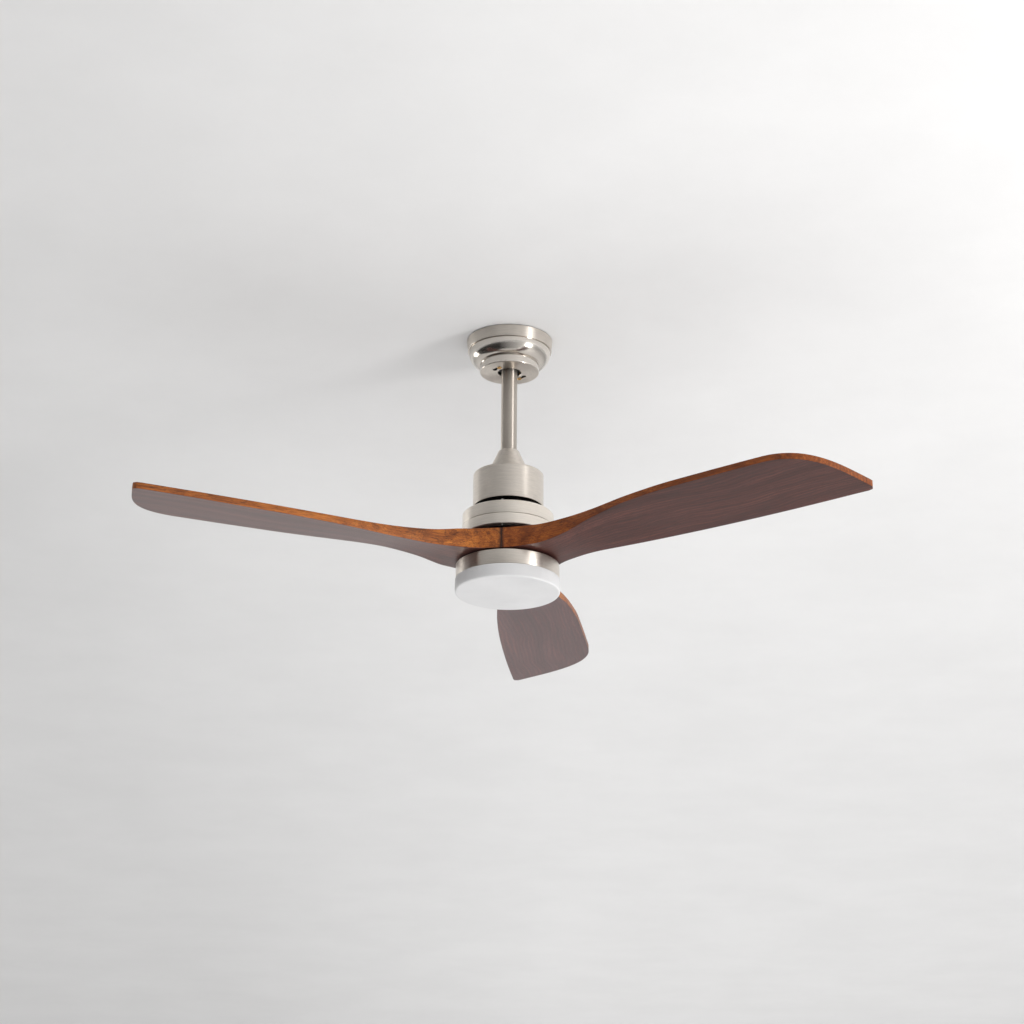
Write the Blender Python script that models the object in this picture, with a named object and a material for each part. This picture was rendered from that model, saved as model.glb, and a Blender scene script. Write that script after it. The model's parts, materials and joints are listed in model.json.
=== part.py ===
"""Ceiling fan: three carved wooden blades on a flat motor, hung from a ball on a downrod, with a drum light.

Metres, +Z up. The origin is the middle of the hanger bracket's top face, which meets the ceiling, so every
height in the object is negative. Turned pieces are measured from the fan's own vertical axis.
"""

import math

import bmesh
import bpy
from mathutils import Matrix, Vector

# Clearances
FIT = 0.0003
RUN = 0.0015

# Heights of the stack, from the ceiling down
CANOPY_HEIGHT = 0.0585
EXPOSED_ROD = 0.1435
COVER_HEIGHT = 0.0416
HOUSING_HEIGHT = 0.0596
UPPER_GAP = 0.0128
TOP_SHELL_HEIGHT = 0.0229
BOTTOM_SHELL_HEIGHT = 0.0186
LOWER_GAP = 0.0092
HUB_THICKNESS = 0.0345
LIGHT_GAP = 0.0043
LIGHT_RING_HEIGHT = 0.0249
DIFFUSER_HEIGHT = 0.0236

# Downrod, and the ball it hangs by
ROD_RADIUS = 0.01336
ROD_WALL = 0.002
ROD_ABOVE_BALL = 0.003
BALL_RADIUS = 0.023
BALL_HALF_HEIGHT = 0.0155
BALL_DEPTH = 0.0345
LINER_THICKNESS = 0.0027
BALL_PIN_RADIUS = 0.003
BALL_PIN_HALF_LENGTH = 0.020
BALL_PIN_RISE = 0.008

# Canopy and hanger bracket
CANOPY_RADIUS = 0.0724
CANOPY_BAND_HEIGHT = 0.0195
CANOPY_BAND_TAPER = 0.0016
CANOPY_STEP = 0.0012
CANOPY_DRUM_RADIUS = 0.050
CANOPY_DRUM_HEIGHT = 0.0135
CANOPY_WALL = 0.0012
CANOPY_EDGE = 0.0015
SWING_ROOM = 0.00634
CANOPY_HOLE_RADIUS = ROD_RADIUS + SWING_ROOM
CANOPY_SCREW_ROOM = 0.0026
CANOPY_SCREW_CIRCLE = BALL_RADIUS + LINER_THICKNESS + CANOPY_SCREW_ROOM
CANOPY_SCREW_RADIUS = 0.002
CANOPY_SCREW_HEAD = 0.0036
CANOPY_SCREW_PAST = 0.002
CANOPY_SCREW_ANGLE = math.radians(53)
KEYHOLE_ARC = math.radians(26)
BRACKET_HALF_LENGTH = 0.052
BRACKET_HALF_WIDTH = 0.019
BRACKET_ARM_ROOM = 0.0057
BRACKET_ARM_SPREAD = CANOPY_SCREW_CIRCLE + BRACKET_ARM_ROOM
BRACKET_STEEL = 0.0025
BRACKET_SEAT_DROP = 0.015
BRACKET_SEAT_DEPTH = BALL_DEPTH + BRACKET_SEAT_DROP
SUPPLY_HOLE_RADIUS = 0.008
SUPPLY_HOLE_OFFSET = 0.020
CEILING_SLOT_OFFSET = 0.044
CEILING_SLOT_RADIUS = 0.0028

# Coupling
COVER_SHOULDER = 0.0014
COVER_TOP_WIDTH = 0.00364
COVER_TOP_RADIUS = ROD_RADIUS + COVER_TOP_WIDTH
COVER_BASE_RADIUS = 0.0350
COVER_WALL = 0.0015
YOKE_WALL = 0.0048
YOKE_RISE = 0.0286
YOKE_DEPTH = 0.0184
YOKE_WEB = 0.004
YOKE_FLANGE_RADIUS = 0.028
CLEVIS_PIN_RADIUS = 0.003
CLEVIS_PIN_RISE = 0.0156
CLEVIS_PIN_PAST = 0.0042
CLEVIS_HEAD_HEIGHT = 0.0018
COTTER_SETBACK = 0.002
COTTER_WIRE = 0.0006
SET_SCREW_RADIUS = 0.0025

# Upper housing and motor
HOUSING_RADIUS = 0.0587
HOUSING_EDGE = 0.0045
HOUSING_WALL = 0.0015
BASE_RECESS = 0.0012
BASE_PLATE = 0.002
CONTROL_BOARD_GAP = 0.0052
CONTROL_BOARD_BORE = 0.022
CAPACITOR_RADIUS = 0.006
CAPACITOR_HEIGHT = 0.020
CAPACITOR_RIM_GAP = 0.014
TRANSFORMER_HALF_WIDTH = 0.012
TRANSFORMER_DEPTH = 0.022
TRANSFORMER_HEIGHT = 0.016
TRANSFORMER_RIM_GAP = 0.004
NECK_RADIUS = 0.046
SHELL_RADIUS = 0.0758
SHELL_CHAMFER = 0.0026
SHELL_WALL = 0.0035
SHELL_PLATE = 0.003
SHAFT_RADIUS = 0.008
SHAFT_BORE = 0.005
RACE_THICKNESS = 0.0024
RACE_GAP = 0.0019
RACE_OUTER_RADIUS = SHAFT_RADIUS + FIT + 2 * RACE_THICKNESS + RACE_GAP
RACE_WIDTH = 0.007
AIR_GAP = 0.0015
MAGNET_THICKNESS = 0.0055
SHELL_SCREW_ROOM = 0.0063
STATOR_HEIGHT = 0.018
STATOR_RADIUS = SHELL_RADIUS - SHELL_WALL - SHELL_SCREW_ROOM - MAGNET_THICKNESS - AIR_GAP
STATOR_HUB_RADIUS = 0.021
STATOR_TEETH = 9
TOOTH_WIDTH = 0.009
SHOE_DEPTH = 0.004
COIL_BUILD = 0.0038
SHELL_SCREW_COUNT = 4
SHELL_SCREW_ANGLE = math.radians(-98)
SHELL_SCREW_INSET = 0.0055
SHELL_SCREW_CIRCLE = SHELL_RADIUS - SHELL_SCREW_INSET
SHELL_SCREW_RADIUS = 0.0015
SHELL_SCREW_PAST = 0.0028
FLANGE_INSET = 0.0118
FLANGE_RADIUS = SHELL_RADIUS - FLANGE_INSET
FLANGE_BORE = 0.020

# Blades: azimuth of the first one, and the plan and section at stations along its free length
BLADE_COUNT = 3
BLADE_AZIMUTH = math.radians(82.1)
SWEEP_RADIUS = 0.660
HUB_RADIUS = 0.079
HUB_BORE = 0.024
TIP_CORNER = 0.009
TIP_SLANT_START = 0.812
# where the rows of points lie between the leading and trailing edge, closer together at the tip's corner
ACROSS_BLADE = (0, 0.2, 0.4, 0.6, 0.78, 0.91, 0.945, 1)
BLADE_SCREW_CIRCLE = 0.042
BLADE_SCREW_ANGLE = math.radians(28)
BLADE_SCREW_RADIUS = 0.0025
BLADE_SCREW_HEAD = 0.0045
BLADE_SCREW_HEAD_HEIGHT = 0.0025
# share of the free length; reach of the leading and trailing edge from the blade's centre line; lift of the
# lower surface over the hub's bottom at the leading and trailing edge; thickness at the two edges
BLADE_STATIONS = (
    (0.000, None, None, 0.0000, 0.0000, None, None),
    (0.085, 0.0515, 0.0460, 0.0000, 0.0000, 0.0325, 0.0325),
    (0.171, 0.0440, 0.0400, 0.0080, 0.0000, 0.0260, 0.0255),
    (0.278, 0.0530, 0.0470, 0.0190, 0.0000, 0.0140, 0.0185),
    (0.406, 0.0675, 0.0580, 0.0240, 0.0012, 0.0098, 0.0135),
    (0.557, 0.0745, 0.0670, 0.0253, 0.0022, 0.0098, 0.0118),
    (0.706, 0.0750, 0.0723, 0.0256, 0.0028, 0.0100, 0.0114),
    (0.857, 0.0745, 0.0757, 0.0260, 0.0038, 0.0098, 0.0107),
    (1.000, 0.0740, 0.0770, 0.0262, 0.0046, 0.0095, 0.0105),
)

# Light
LIGHT_RING_RADIUS = 0.0856
LIGHT_RING_WALL = 0.0015
LIGHT_PLATE_RADIUS = 0.040
LIGHT_PLATE_THICKNESS = 0.002
NUT_HEIGHT = 0.006
NUT_FLAT = 0.012
STANDOFF_CIRCLE = 0.032
STANDOFF_RADIUS = 0.0032
STANDOFF_HEIGHT = 0.0116
BOARD_THICKNESS = 0.0016
BOARD_RIM_GAP = 0.0021
DRIVER_LENGTH = 0.048
DRIVER_WIDTH = 0.020
DRIVER_HEIGHT = 0.012
DRIVER_CORNER_ROOM = 0.0056
DRIVER_OFFSET = (LIGHT_PLATE_RADIUS + LIGHT_RING_RADIUS - DRIVER_CORNER_ROOM) / 2
EMITTER_HALF = 0.0014
EMITTER_CIRCLE = 0.045
EMITTER_RIM_GAP = 0.014
DIFFUSER_OVERHANG = 0.0009
DIFFUSER_RADIUS = LIGHT_RING_RADIUS + DIFFUSER_OVERHANG
DIFFUSER_WALL = 0.0028
DIFFUSER_EDGE = 0.003
DIFFUSER_BOW = 0.0008
DIFFUSER_LIP = 0.0056
LUG_COUNT = 3
LUG_ARC = math.radians(16)
LUG_REACH = 0.0013
LUG_HEIGHT = 0.0015

# Lead
LEAD_RADIUS = 0.0015
PLUG_HALF_LENGTH = 0.0065
PLUG_HALF_WIDTH = 0.0042
PLUG_HEIGHT = 0.0075

# Levels that follow from the stack
CANOPY_LOW = -CANOPY_HEIGHT
COVER_TOP = CANOPY_LOW - EXPOSED_ROD
HOUSING_TOP = COVER_TOP - COVER_HEIGHT
HOUSING_LOW = HOUSING_TOP - HOUSING_HEIGHT
SHELL_TOP = HOUSING_LOW - UPPER_GAP
SHELL_SEAM = SHELL_TOP - TOP_SHELL_HEIGHT
SHELL_LOW = SHELL_SEAM - BOTTOM_SHELL_HEIGHT
HUB_TOP = SHELL_LOW - LOWER_GAP
HUB_LOW = HUB_TOP - HUB_THICKNESS
RING_TOP = HUB_LOW - LIGHT_GAP
RING_LOW = RING_TOP - LIGHT_RING_HEIGHT
DIFFUSER_LOW = RING_LOW - DIFFUSER_HEIGHT
BALL_CENTRE = -BALL_DEPTH
ROD_TOP = BALL_CENTRE + BALL_HALF_HEIGHT + ROD_ABOVE_BALL
YOKE_TOP = HOUSING_TOP + YOKE_RISE
YOKE_LOW = HOUSING_TOP - YOKE_DEPTH
YOKE_RADIUS = ROD_RADIUS + FIT + YOKE_WALL
CLEVIS_LEVEL = HOUSING_TOP + CLEVIS_PIN_RISE
YOKE_FLANGE_TOP = HOUSING_TOP - HOUSING_WALL - FIT
SOCKET_LOW = YOKE_FLANGE_TOP - YOKE_WEB / 2
ROD_LOW = SOCKET_LOW + FIT
STATOR_MIDDLE = SHELL_SEAM + (TOP_SHELL_HEIGHT - BOTTOM_SHELL_HEIGHT) / 2
UPPER_RACE_TOP = SHELL_TOP - FIT
LOWER_RACE_LOW = SHELL_LOW + FIT
LIGHT_PLATE_TOP = RING_TOP - LIGHT_RING_WALL - FIT
NUT_TOP = LIGHT_PLATE_TOP - LIGHT_PLATE_THICKNESS - FIT
SHAFT_LOW = NUT_TOP - NUT_HEIGHT - RUN
BOARD_TOP = NUT_TOP - STANDOFF_HEIGHT - FIT
BOARD_LOW = BOARD_TOP - BOARD_THICKNESS

# Sides of turned pieces, by size
ROUND = 32
MEDIUM = 24
SMALL = 16
TINY = 8


def clear_scene():
    for old in list(bpy.data.objects):
        bpy.data.objects.remove(old, do_unlink=True)


def look(name, colour, roughness, metallic):
    """A material from its colour, roughness and metallic value."""
    material = bpy.data.materials.new(name)
    material.use_nodes = True
    shader = material.node_tree.nodes["Principled BSDF"]
    shader.inputs["Base Color"].default_value = (*colour, 1)
    shader.inputs["Roughness"].default_value = roughness
    shader.inputs["Metallic"].default_value = metallic
    material.diffuse_color = (*colour, 1)
    return material


def pivot(name, height, parent=None):
    """An empty on a joint's axis, which carries the pieces that turn about it."""
    empty = bpy.data.objects.new(name, None)
    bpy.context.scene.collection.objects.link(empty)
    empty.empty_display_size = 0.03
    empty.location = (0, 0, height)
    if parent:
        attach(empty, parent)
    return empty


def attach(piece, parent):
    """Parents a piece without moving it in the world."""
    piece.parent = parent
    piece.matrix_parent_inverse = parent_place(parent).inverted()


def parent_place(parent):
    return Matrix.Translation(parent.location)


def add(name, mesh, parent, location=(0, 0, 0), rotation=(0, 0, 0)):
    piece = bpy.data.objects.new(name, mesh)
    bpy.context.scene.collection.objects.link(piece)
    piece.location = location
    piece.rotation_euler = rotation
    if parent:
        attach(piece, parent)
    return piece


def mesh_of(name, bm, material):
    """Closes and orients a bmesh and gives it one material and smooth shading up to its sharp edges."""
    bmesh.ops.remove_doubles(bm, verts=bm.verts, dist=1e-7)
    bmesh.ops.recalc_face_normals(bm, faces=bm.faces)
    mesh = bpy.data.meshes.new(name)
    bm.to_mesh(mesh)
    bm.free()
    if material:
        mesh.materials.append(material)
    mesh.shade_smooth()
    mesh.set_sharp_from_angle(angle=math.radians(32))
    return mesh


def turned(name, outline, material, sides=ROUND):
    """A mesh turned about the Z axis from (radius, height) points, without the edges that lie on the axis."""
    bm = bmesh.new()
    corners = [bm.verts.new((radius, 0, height)) for radius, height in outline]
    for first, second in zip(corners, corners[1:] + corners[:1]):
        if first.co.x > 0 or second.co.x > 0:
            bm.edges.new((first, second))
    bmesh.ops.spin(
        bm,
        geom=bm.verts[:] + bm.edges[:],
        cent=(0, 0, 0),
        axis=(0, 0, 1),
        angle=math.tau,
        steps=sides,
        use_merge=True,
    )
    return mesh_of(name, bm, material)


def arc(radius, height, size, start, stop, steps):
    """Points of a circular arc in the turning plane, its angles in degrees from outward, upward positive."""
    angles = [math.radians(start + (stop - start) * step / steps) for step in range(steps + 1)]
    return [(radius + size * math.cos(angle), height + size * math.sin(angle)) for angle in angles]


def lofted(name, sections, material):
    """A mesh through equal closed loops of points, with a face over each end."""
    bm = bmesh.new()
    loops = [[bm.verts.new(point) for point in section] for section in sections]
    for near, far in zip(loops, loops[1:]):
        for index in range(len(near)):
            bm.faces.new((near[index - 1], near[index], far[index], far[index - 1]))
    bm.faces.new(loops[0])
    bm.faces.new(loops[-1])
    return mesh_of(name, bm, material)


def extruded(name, outline, half_width, material):
    """A solid from a closed outline of (x, z) points, as wide as twice half_width along Y."""
    ends = [[(x, side * half_width, z) for x, z in outline] for side in (-1, 1)]
    return lofted(name, ends, material)


def box(name, low, high, material):
    """A rectangular block between two opposite corners."""
    floor = [(low[0], low[1]), (high[0], low[1]), (high[0], high[1]), (low[0], high[1])]
    return lofted(name, [[(x, y, z) for x, y in floor] for z in (low[2], high[2])], material)


def prism(name, corners, radius, low, high, material):
    """An upright prism with a regular base."""
    angles = [math.tau * corner / corners for corner in range(corners)]
    base = [(radius * math.cos(angle), radius * math.sin(angle)) for angle in angles]
    return lofted(name, [[(x, y, z) for x, y in base] for z in (low, high)], material)


def arc_block(inner, outer, low, high, middle, spread, steps=3):
    """The sections of a block that follows a stretch of a ring."""
    sections = []
    for step in range(steps + 1):
        angle = middle + spread * (step / steps - 0.5)
        across, along = math.cos(angle), math.sin(angle)
        corners = ((inner, low), (outer, low), (outer, high), (inner, high))
        sections.append([(radius * across, radius * along, height) for radius, height in corners])
    return sections


def merged(name, meshes, material=None):
    """Several closed shapes in one mesh."""
    bm = bmesh.new()
    for mesh, place in meshes:
        start = len(bm.verts)
        bm.from_mesh(mesh)
        bm.verts.ensure_lookup_table()
        bmesh.ops.transform(bm, matrix=place, verts=bm.verts[start:])
        bpy.data.meshes.remove(mesh)
    return mesh_of(name, bm, material)


def helper(name, mesh, location=(0, 0, 0), rotation=(0, 0, 0)):
    """A shape that only cuts or joins: it is drawn as wire and isn't a piece."""
    shape = add(name, mesh, None, location, rotation)
    shape.hide_render = True
    shape.display_type = "WIRE"
    return shape


def combine(piece, tool, operation):
    boolean = piece.modifiers.new(tool.name, "BOOLEAN")
    boolean.operation = operation
    boolean.solver = "EXACT"
    boolean.object = tool


def cut(piece, *tools):
    for tool in tools:
        combine(piece, tool, "DIFFERENCE")


def join(piece, *tools):
    for tool in tools:
        combine(piece, tool, "UNION")


def around(count, circle, first=0.0):
    """(angle, x, y) of points spaced evenly on a circle."""
    angles = [first + math.tau * index / count for index in range(count)]
    return [(angle, circle * math.cos(angle), circle * math.sin(angle)) for angle in angles]


def rod_outline(radius, low, high):
    """The turning outline of a plain solid cylinder."""
    return [(0, high), (radius, high), (radius, low), (0, low)]


def drills(name, places, radius, low, high):
    """Upright cylinders, as one cutter."""
    drill = rod_outline(radius, low, high)
    bits = [(turned(name, drill, None, TINY), Matrix.Translation((x, y, 0))) for x, y in places]
    return helper(name, merged(name, bits))


def cross_drill(name, radius, half_length, height, axis="X"):
    """A level cylinder through the fan's axis, as a cutter."""
    drill = rod_outline(radius, -half_length, half_length)
    turn = (0, math.pi / 2, 0) if axis == "X" else (math.pi / 2, 0, 0)
    return helper(name, turned(name, drill, None, TINY), (0, 0, height), turn)


def screw_mesh(name, head_radius, head_height, shank_radius, length, material):
    """A pan head screw, its head above the origin and its shank below."""
    outline = [
        (0, head_height),
        (head_radius * 0.7, head_height),
        (head_radius, head_height * 0.55),
        (head_radius, 0),
        (shank_radius, 0),
        (shank_radius, -length),
        (0, -length),
    ]
    return turned(name, outline, material, TINY)


NICKEL = ((0.60, 0.57, 0.54), 0.32, 1.0)
STEEL = ((0.55, 0.55, 0.56), 0.40, 1.0)


def make_looks():
    return {
        "nickel": look("brushed_nickel", *NICKEL),
        "steel": look("zinc_steel", *STEEL),
        "brass": look("brass", (0.72, 0.50, 0.26), 0.35, 1.0),
        "black": look("black_paint", (0.012, 0.012, 0.012), 0.6, 0.0),
        "walnut": look("walnut", (0.20, 0.095, 0.06), 0.45, 0.0),
        "frosted": look("frosted_acrylic", (0.88, 0.88, 0.88), 0.5, 0.0),
        "nylon": look("black_nylon", (0.03, 0.03, 0.032), 0.5, 0.0),
        "rubber": look("grey_rubber", (0.10, 0.10, 0.10), 0.8, 0.0),
        "copper": look("copper_winding", (0.62, 0.26, 0.12), 0.35, 1.0),
        "lamination": look("stator_steel", (0.30, 0.30, 0.32), 0.5, 1.0),
        "magnet": look("ferrite", (0.05, 0.05, 0.055), 0.6, 0.0),
        "board": look("green_board", (0.02, 0.16, 0.07), 0.5, 0.0),
        "white_board": look("white_board", (0.80, 0.80, 0.78), 0.5, 0.0),
        "plastic": look("white_plastic", (0.75, 0.75, 0.73), 0.45, 0.0),
        "jacket": look("black_jacket", (0.02, 0.02, 0.02), 0.6, 0.0),
    }


# Hanger ---------------------------------------------------------------------------------------------------


def make_bracket(looks, frame):
    """A steel stirrup: a ceiling plate, two arms and a lower plate with a round seat for the ball."""
    arm = BRACKET_ARM_SPREAD + BRACKET_STEEL
    stirrup = [
        (-BRACKET_HALF_LENGTH, 0),
        (-BRACKET_HALF_LENGTH, -BRACKET_STEEL),
        (-arm, -BRACKET_STEEL),
        (-arm, -BRACKET_SEAT_DEPTH),
        (arm, -BRACKET_SEAT_DEPTH),
        (arm, -BRACKET_STEEL),
        (BRACKET_HALF_LENGTH, -BRACKET_STEEL),
        (BRACKET_HALF_LENGTH, 0),
    ]
    turn = (0, 0, CANOPY_SCREW_ANGLE)
    mesh = extruded("hanger_bracket", stirrup, BRACKET_HALF_WIDTH, looks["steel"])
    bracket = add("hanger_bracket", mesh, frame, rotation=turn)
    through = BRACKET_HALF_WIDTH * 2
    window = box(
        "bracket_window",
        (-BRACKET_ARM_SPREAD, -through, BRACKET_STEEL - BRACKET_SEAT_DEPTH),
        (BRACKET_ARM_SPREAD, through, -BRACKET_STEEL),
        None,
    )
    cut(bracket, helper("bracket_window", window, rotation=turn))
    seat = BALL_RADIUS + LINER_THICKNESS + 2 * FIT
    ball_room = turned("bracket_seat", arc(0, BALL_CENTRE, seat, 90, -90, 18), None, MEDIUM)
    cut(bracket, helper("bracket_seat", ball_room))
    slot_half = ROD_RADIUS + 2 * FIT
    entry = box(
        "bracket_entry",
        (-slot_half, 0, -BRACKET_SEAT_DEPTH - BRACKET_STEEL),
        (slot_half, through, 2 * BRACKET_STEEL - BRACKET_SEAT_DEPTH),
        None,
    )
    cut(bracket, helper("bracket_entry", entry, rotation=turn))
    holes = [(SUPPLY_HOLE_OFFSET, 0, SUPPLY_HOLE_RADIUS)]
    holes += [(side * CEILING_SLOT_OFFSET, 0, CEILING_SLOT_RADIUS) for side in (-1, 1)]
    bits = []
    for x, y, radius in holes:
        drill = rod_outline(radius, -2 * BRACKET_STEEL, BRACKET_STEEL)
        bits.append((turned("bracket_drill", drill, None, SMALL), Matrix.Translation((x, y, 0))))
    cut(bracket, helper("bracket_drills", merged("bracket_drills", bits), rotation=turn))
    threads = [(x, y) for _, x, y in around(2, CANOPY_SCREW_CIRCLE, CANOPY_SCREW_ANGLE)]
    drill_top = 2 * BRACKET_STEEL - BRACKET_SEAT_DEPTH
    cut(bracket, drills("bracket_threads", threads, CANOPY_SCREW_RADIUS + FIT, CANOPY_LOW, drill_top))


def canopy_outline():
    """The canopy's outside from its ceiling rim down to the hole in its disc, and back along the inside."""
    rim = -2 * FIT
    band_low = rim - CANOPY_BAND_HEIGHT
    band_foot = CANOPY_RADIUS - CANOPY_BAND_TAPER
    bowl_top = band_foot - CANOPY_STEP
    drum_top = CANOPY_LOW + CANOPY_DRUM_HEIGHT
    bowl_start = band_low - CANOPY_STEP
    bowl_width = bowl_top - CANOPY_DRUM_RADIUS
    bowl_height = bowl_start - drum_top
    steps = 6
    bowl = []
    for step in range(steps + 1):
        angle = math.radians(84) * step / steps
        radius = CANOPY_DRUM_RADIUS + bowl_width * math.cos(angle)
        bowl.append((radius, bowl_start - bowl_height * math.sin(angle)))
    outside = [(CANOPY_RADIUS, rim), (band_foot, band_low)] + bowl
    outside += [(CANOPY_DRUM_RADIUS, drum_top - FIT), (CANOPY_DRUM_RADIUS, CANOPY_LOW + CANOPY_EDGE)]
    outside += [(CANOPY_DRUM_RADIUS - CANOPY_EDGE, CANOPY_LOW), (CANOPY_HOLE_RADIUS, CANOPY_LOW)]
    inside = [(CANOPY_HOLE_RADIUS, CANOPY_LOW + CANOPY_WALL)]
    inside += [(CANOPY_DRUM_RADIUS - CANOPY_WALL, CANOPY_LOW + CANOPY_WALL)]
    inside += [(CANOPY_DRUM_RADIUS - CANOPY_WALL, drum_top + CANOPY_WALL)]
    inside += [(radius - CANOPY_WALL, height + CANOPY_WALL / 2) for radius, height in reversed(bowl[:-2:2])]
    inside += [(CANOPY_RADIUS - CANOPY_WALL, rim)]
    return outside + inside


def make_canopy(looks, frame):
    canopy = add("canopy", turned("canopy", canopy_outline(), looks["nickel"]), frame)
    low, high = CANOPY_LOW - 2 * CANOPY_WALL, CANOPY_LOW + 3 * CANOPY_WALL
    slot = []
    for angle, _, _ in around(2, CANOPY_SCREW_CIRCLE, CANOPY_SCREW_ANGLE):
        middle = angle - KEYHOLE_ARC / 2 + math.radians(4)
        inner = CANOPY_SCREW_CIRCLE - CANOPY_SCREW_RADIUS - 2 * FIT
        outer = CANOPY_SCREW_CIRCLE + CANOPY_SCREW_RADIUS + 2 * FIT
        sections = arc_block(inner, outer, low, high, middle, KEYHOLE_ARC)
        slot.append((lofted("keyhole_slot", sections, None), Matrix()))
    cut(canopy, helper("keyhole_slots", merged("keyhole_slots", slot)))
    entries = around(2, CANOPY_SCREW_CIRCLE, CANOPY_SCREW_ANGLE - KEYHOLE_ARC + math.radians(2))
    places = [(x, y) for _, x, y in entries]
    cut(canopy, drills("keyhole_entries", places, CANOPY_SCREW_HEAD + FIT, low, high))
    length = BRACKET_STEEL + CANOPY_HEIGHT - BRACKET_SEAT_DEPTH + CANOPY_SCREW_PAST
    size = (CANOPY_SCREW_HEAD, 0.002, CANOPY_SCREW_RADIUS, length)
    mesh = screw_mesh("canopy_screw", *size, looks["brass"])
    for index, (_, x, y) in enumerate(around(2, CANOPY_SCREW_CIRCLE, CANOPY_SCREW_ANGLE), 1):
        add(f"canopy_screw_{index}", mesh, frame, (x, y, CANOPY_LOW - FIT), (math.pi, 0, 0))


def make_terminal_block(looks, frame):
    """A block with two raised rows, screwed under the bracket's top plate."""
    top = -BRACKET_STEEL - FIT
    low = top - 0.009
    step = top - 0.006
    near, ledge, back, far = -0.016, -0.020, -0.028, -0.032
    outline = [(near, top), (near, step), (ledge, step), (ledge, low)]
    outline += [(back, low), (back, step), (far, step), (far, top)]
    mesh = extruded("terminal_block", outline, 0.009, looks["plastic"])
    add("terminal_block", mesh, frame, rotation=(0, 0, CANOPY_SCREW_ANGLE))


def make_ball_seat(looks, frame):
    """A liner between the ball and the bracket, with the ball's centre as the centre of both its faces."""
    inner = BALL_RADIUS + FIT
    outer = inner + LINER_THICKNESS
    outline = arc(0, BALL_CENTRE, outer, -10, -43, 4) + arc(0, BALL_CENTRE, inner, -43, -10, 4)
    add("ball_seat_liner", turned("ball_seat_liner", outline, looks["rubber"], MEDIUM), frame)


# Rod and coupling -----------------------------------------------------------------------------------------


def make_ball(looks, frame):
    """The hanger ball, its cross pin and its set screw."""
    bore = ROD_RADIUS + FIT
    tilt = math.degrees(math.asin(BALL_HALF_HEIGHT / BALL_RADIUS))
    outline = arc(0, BALL_CENTRE, BALL_RADIUS, tilt, -tilt, 6)
    outline += [(bore, BALL_CENTRE - BALL_HALF_HEIGHT), (bore, BALL_CENTRE + BALL_HALF_HEIGHT)]
    ball = add("hanger_ball", turned("hanger_ball", outline, looks["nylon"], MEDIUM), frame)
    pin_level = BALL_CENTRE + BALL_PIN_RISE
    cut(ball, cross_drill("ball_pin_hole", BALL_PIN_RADIUS + FIT, 2 * BALL_RADIUS, pin_level))
    screw_level = BALL_CENTRE - BALL_PIN_RISE / 4
    reach = BALL_RADIUS - 0.001
    drill = turned("ball_set_hole", rod_outline(SET_SCREW_RADIUS + FIT, 0, 2 * BALL_RADIUS), None, TINY)
    cut(ball, helper("ball_set_hole", drill, (0, 0, screw_level), (math.pi / 2, 0, 0)))
    pin = rod_outline(BALL_PIN_RADIUS, -BALL_PIN_HALF_LENGTH, BALL_PIN_HALF_LENGTH)
    mesh = turned("ball_pin", pin, looks["steel"], TINY)
    add("ball_pin", mesh, frame, (0, 0, pin_level), (0, math.pi / 2, 0))
    mesh = turned("ball_set_screw", rod_outline(SET_SCREW_RADIUS, bore, reach), looks["steel"], TINY)
    add("ball_set_screw", mesh, frame, (0, 0, screw_level), (math.pi / 2, 0, 0))


def make_downrod(looks, frame):
    inner = ROD_RADIUS - ROD_WALL
    outline = [(ROD_RADIUS, ROD_TOP), (ROD_RADIUS, ROD_LOW), (inner, ROD_LOW), (inner, ROD_TOP)]
    rod = add("downrod", turned("downrod", outline, looks["nickel"], SMALL), frame)
    level = BALL_CENTRE + BALL_PIN_RISE
    cut(rod, cross_drill("rod_top_hole", BALL_PIN_RADIUS + FIT, 2 * ROD_RADIUS, level))
    cut(rod, cross_drill("rod_low_hole", CLEVIS_PIN_RADIUS + FIT, 2 * ROD_RADIUS, CLEVIS_LEVEL, "Y"))


def make_yoke(looks, frame):
    """The coupling that joins the rod to the motor shaft and carries the upper housing on its flange."""
    bore = ROD_RADIUS + FIT
    hole = SHAFT_BORE + 0.001
    web_low = SOCKET_LOW - YOKE_WEB
    shaft_bore = SHAFT_RADIUS + FIT
    flange_low = YOKE_FLANGE_TOP - YOKE_WEB
    outline = [
        (YOKE_RADIUS, YOKE_TOP),
        (YOKE_RADIUS, YOKE_FLANGE_TOP),
        (YOKE_FLANGE_RADIUS, YOKE_FLANGE_TOP),
        (YOKE_FLANGE_RADIUS, flange_low),
        (bore, flange_low - YOKE_WEB),
        (bore, YOKE_LOW),
        (shaft_bore, YOKE_LOW),
        (shaft_bore, web_low),
        (hole, web_low),
        (hole, SOCKET_LOW),
        (bore, SOCKET_LOW),
        (bore, YOKE_TOP),
    ]
    yoke = add("motor_yoke", turned("motor_yoke", outline, looks["steel"], MEDIUM), frame)
    reach = YOKE_RADIUS * 2
    cut(yoke, cross_drill("yoke_pin_hole", CLEVIS_PIN_RADIUS + FIT, reach, CLEVIS_LEVEL, "Y"))
    screw_level = (YOKE_TOP + CLEVIS_LEVEL + CLEVIS_PIN_RADIUS) / 2
    cut(yoke, cross_drill("yoke_screw_hole", SET_SCREW_RADIUS + FIT, reach, screw_level))
    tip = YOKE_RADIUS + 0.001
    mesh = turned("yoke_set_screw", rod_outline(SET_SCREW_RADIUS, bore, tip), looks["steel"], TINY)
    for index, side in enumerate((1, -1), 1):
        turn = (0, side * math.pi / 2, 0)
        add(f"yoke_set_screw_{index}", mesh, frame, (0, 0, screw_level), turn)


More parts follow.
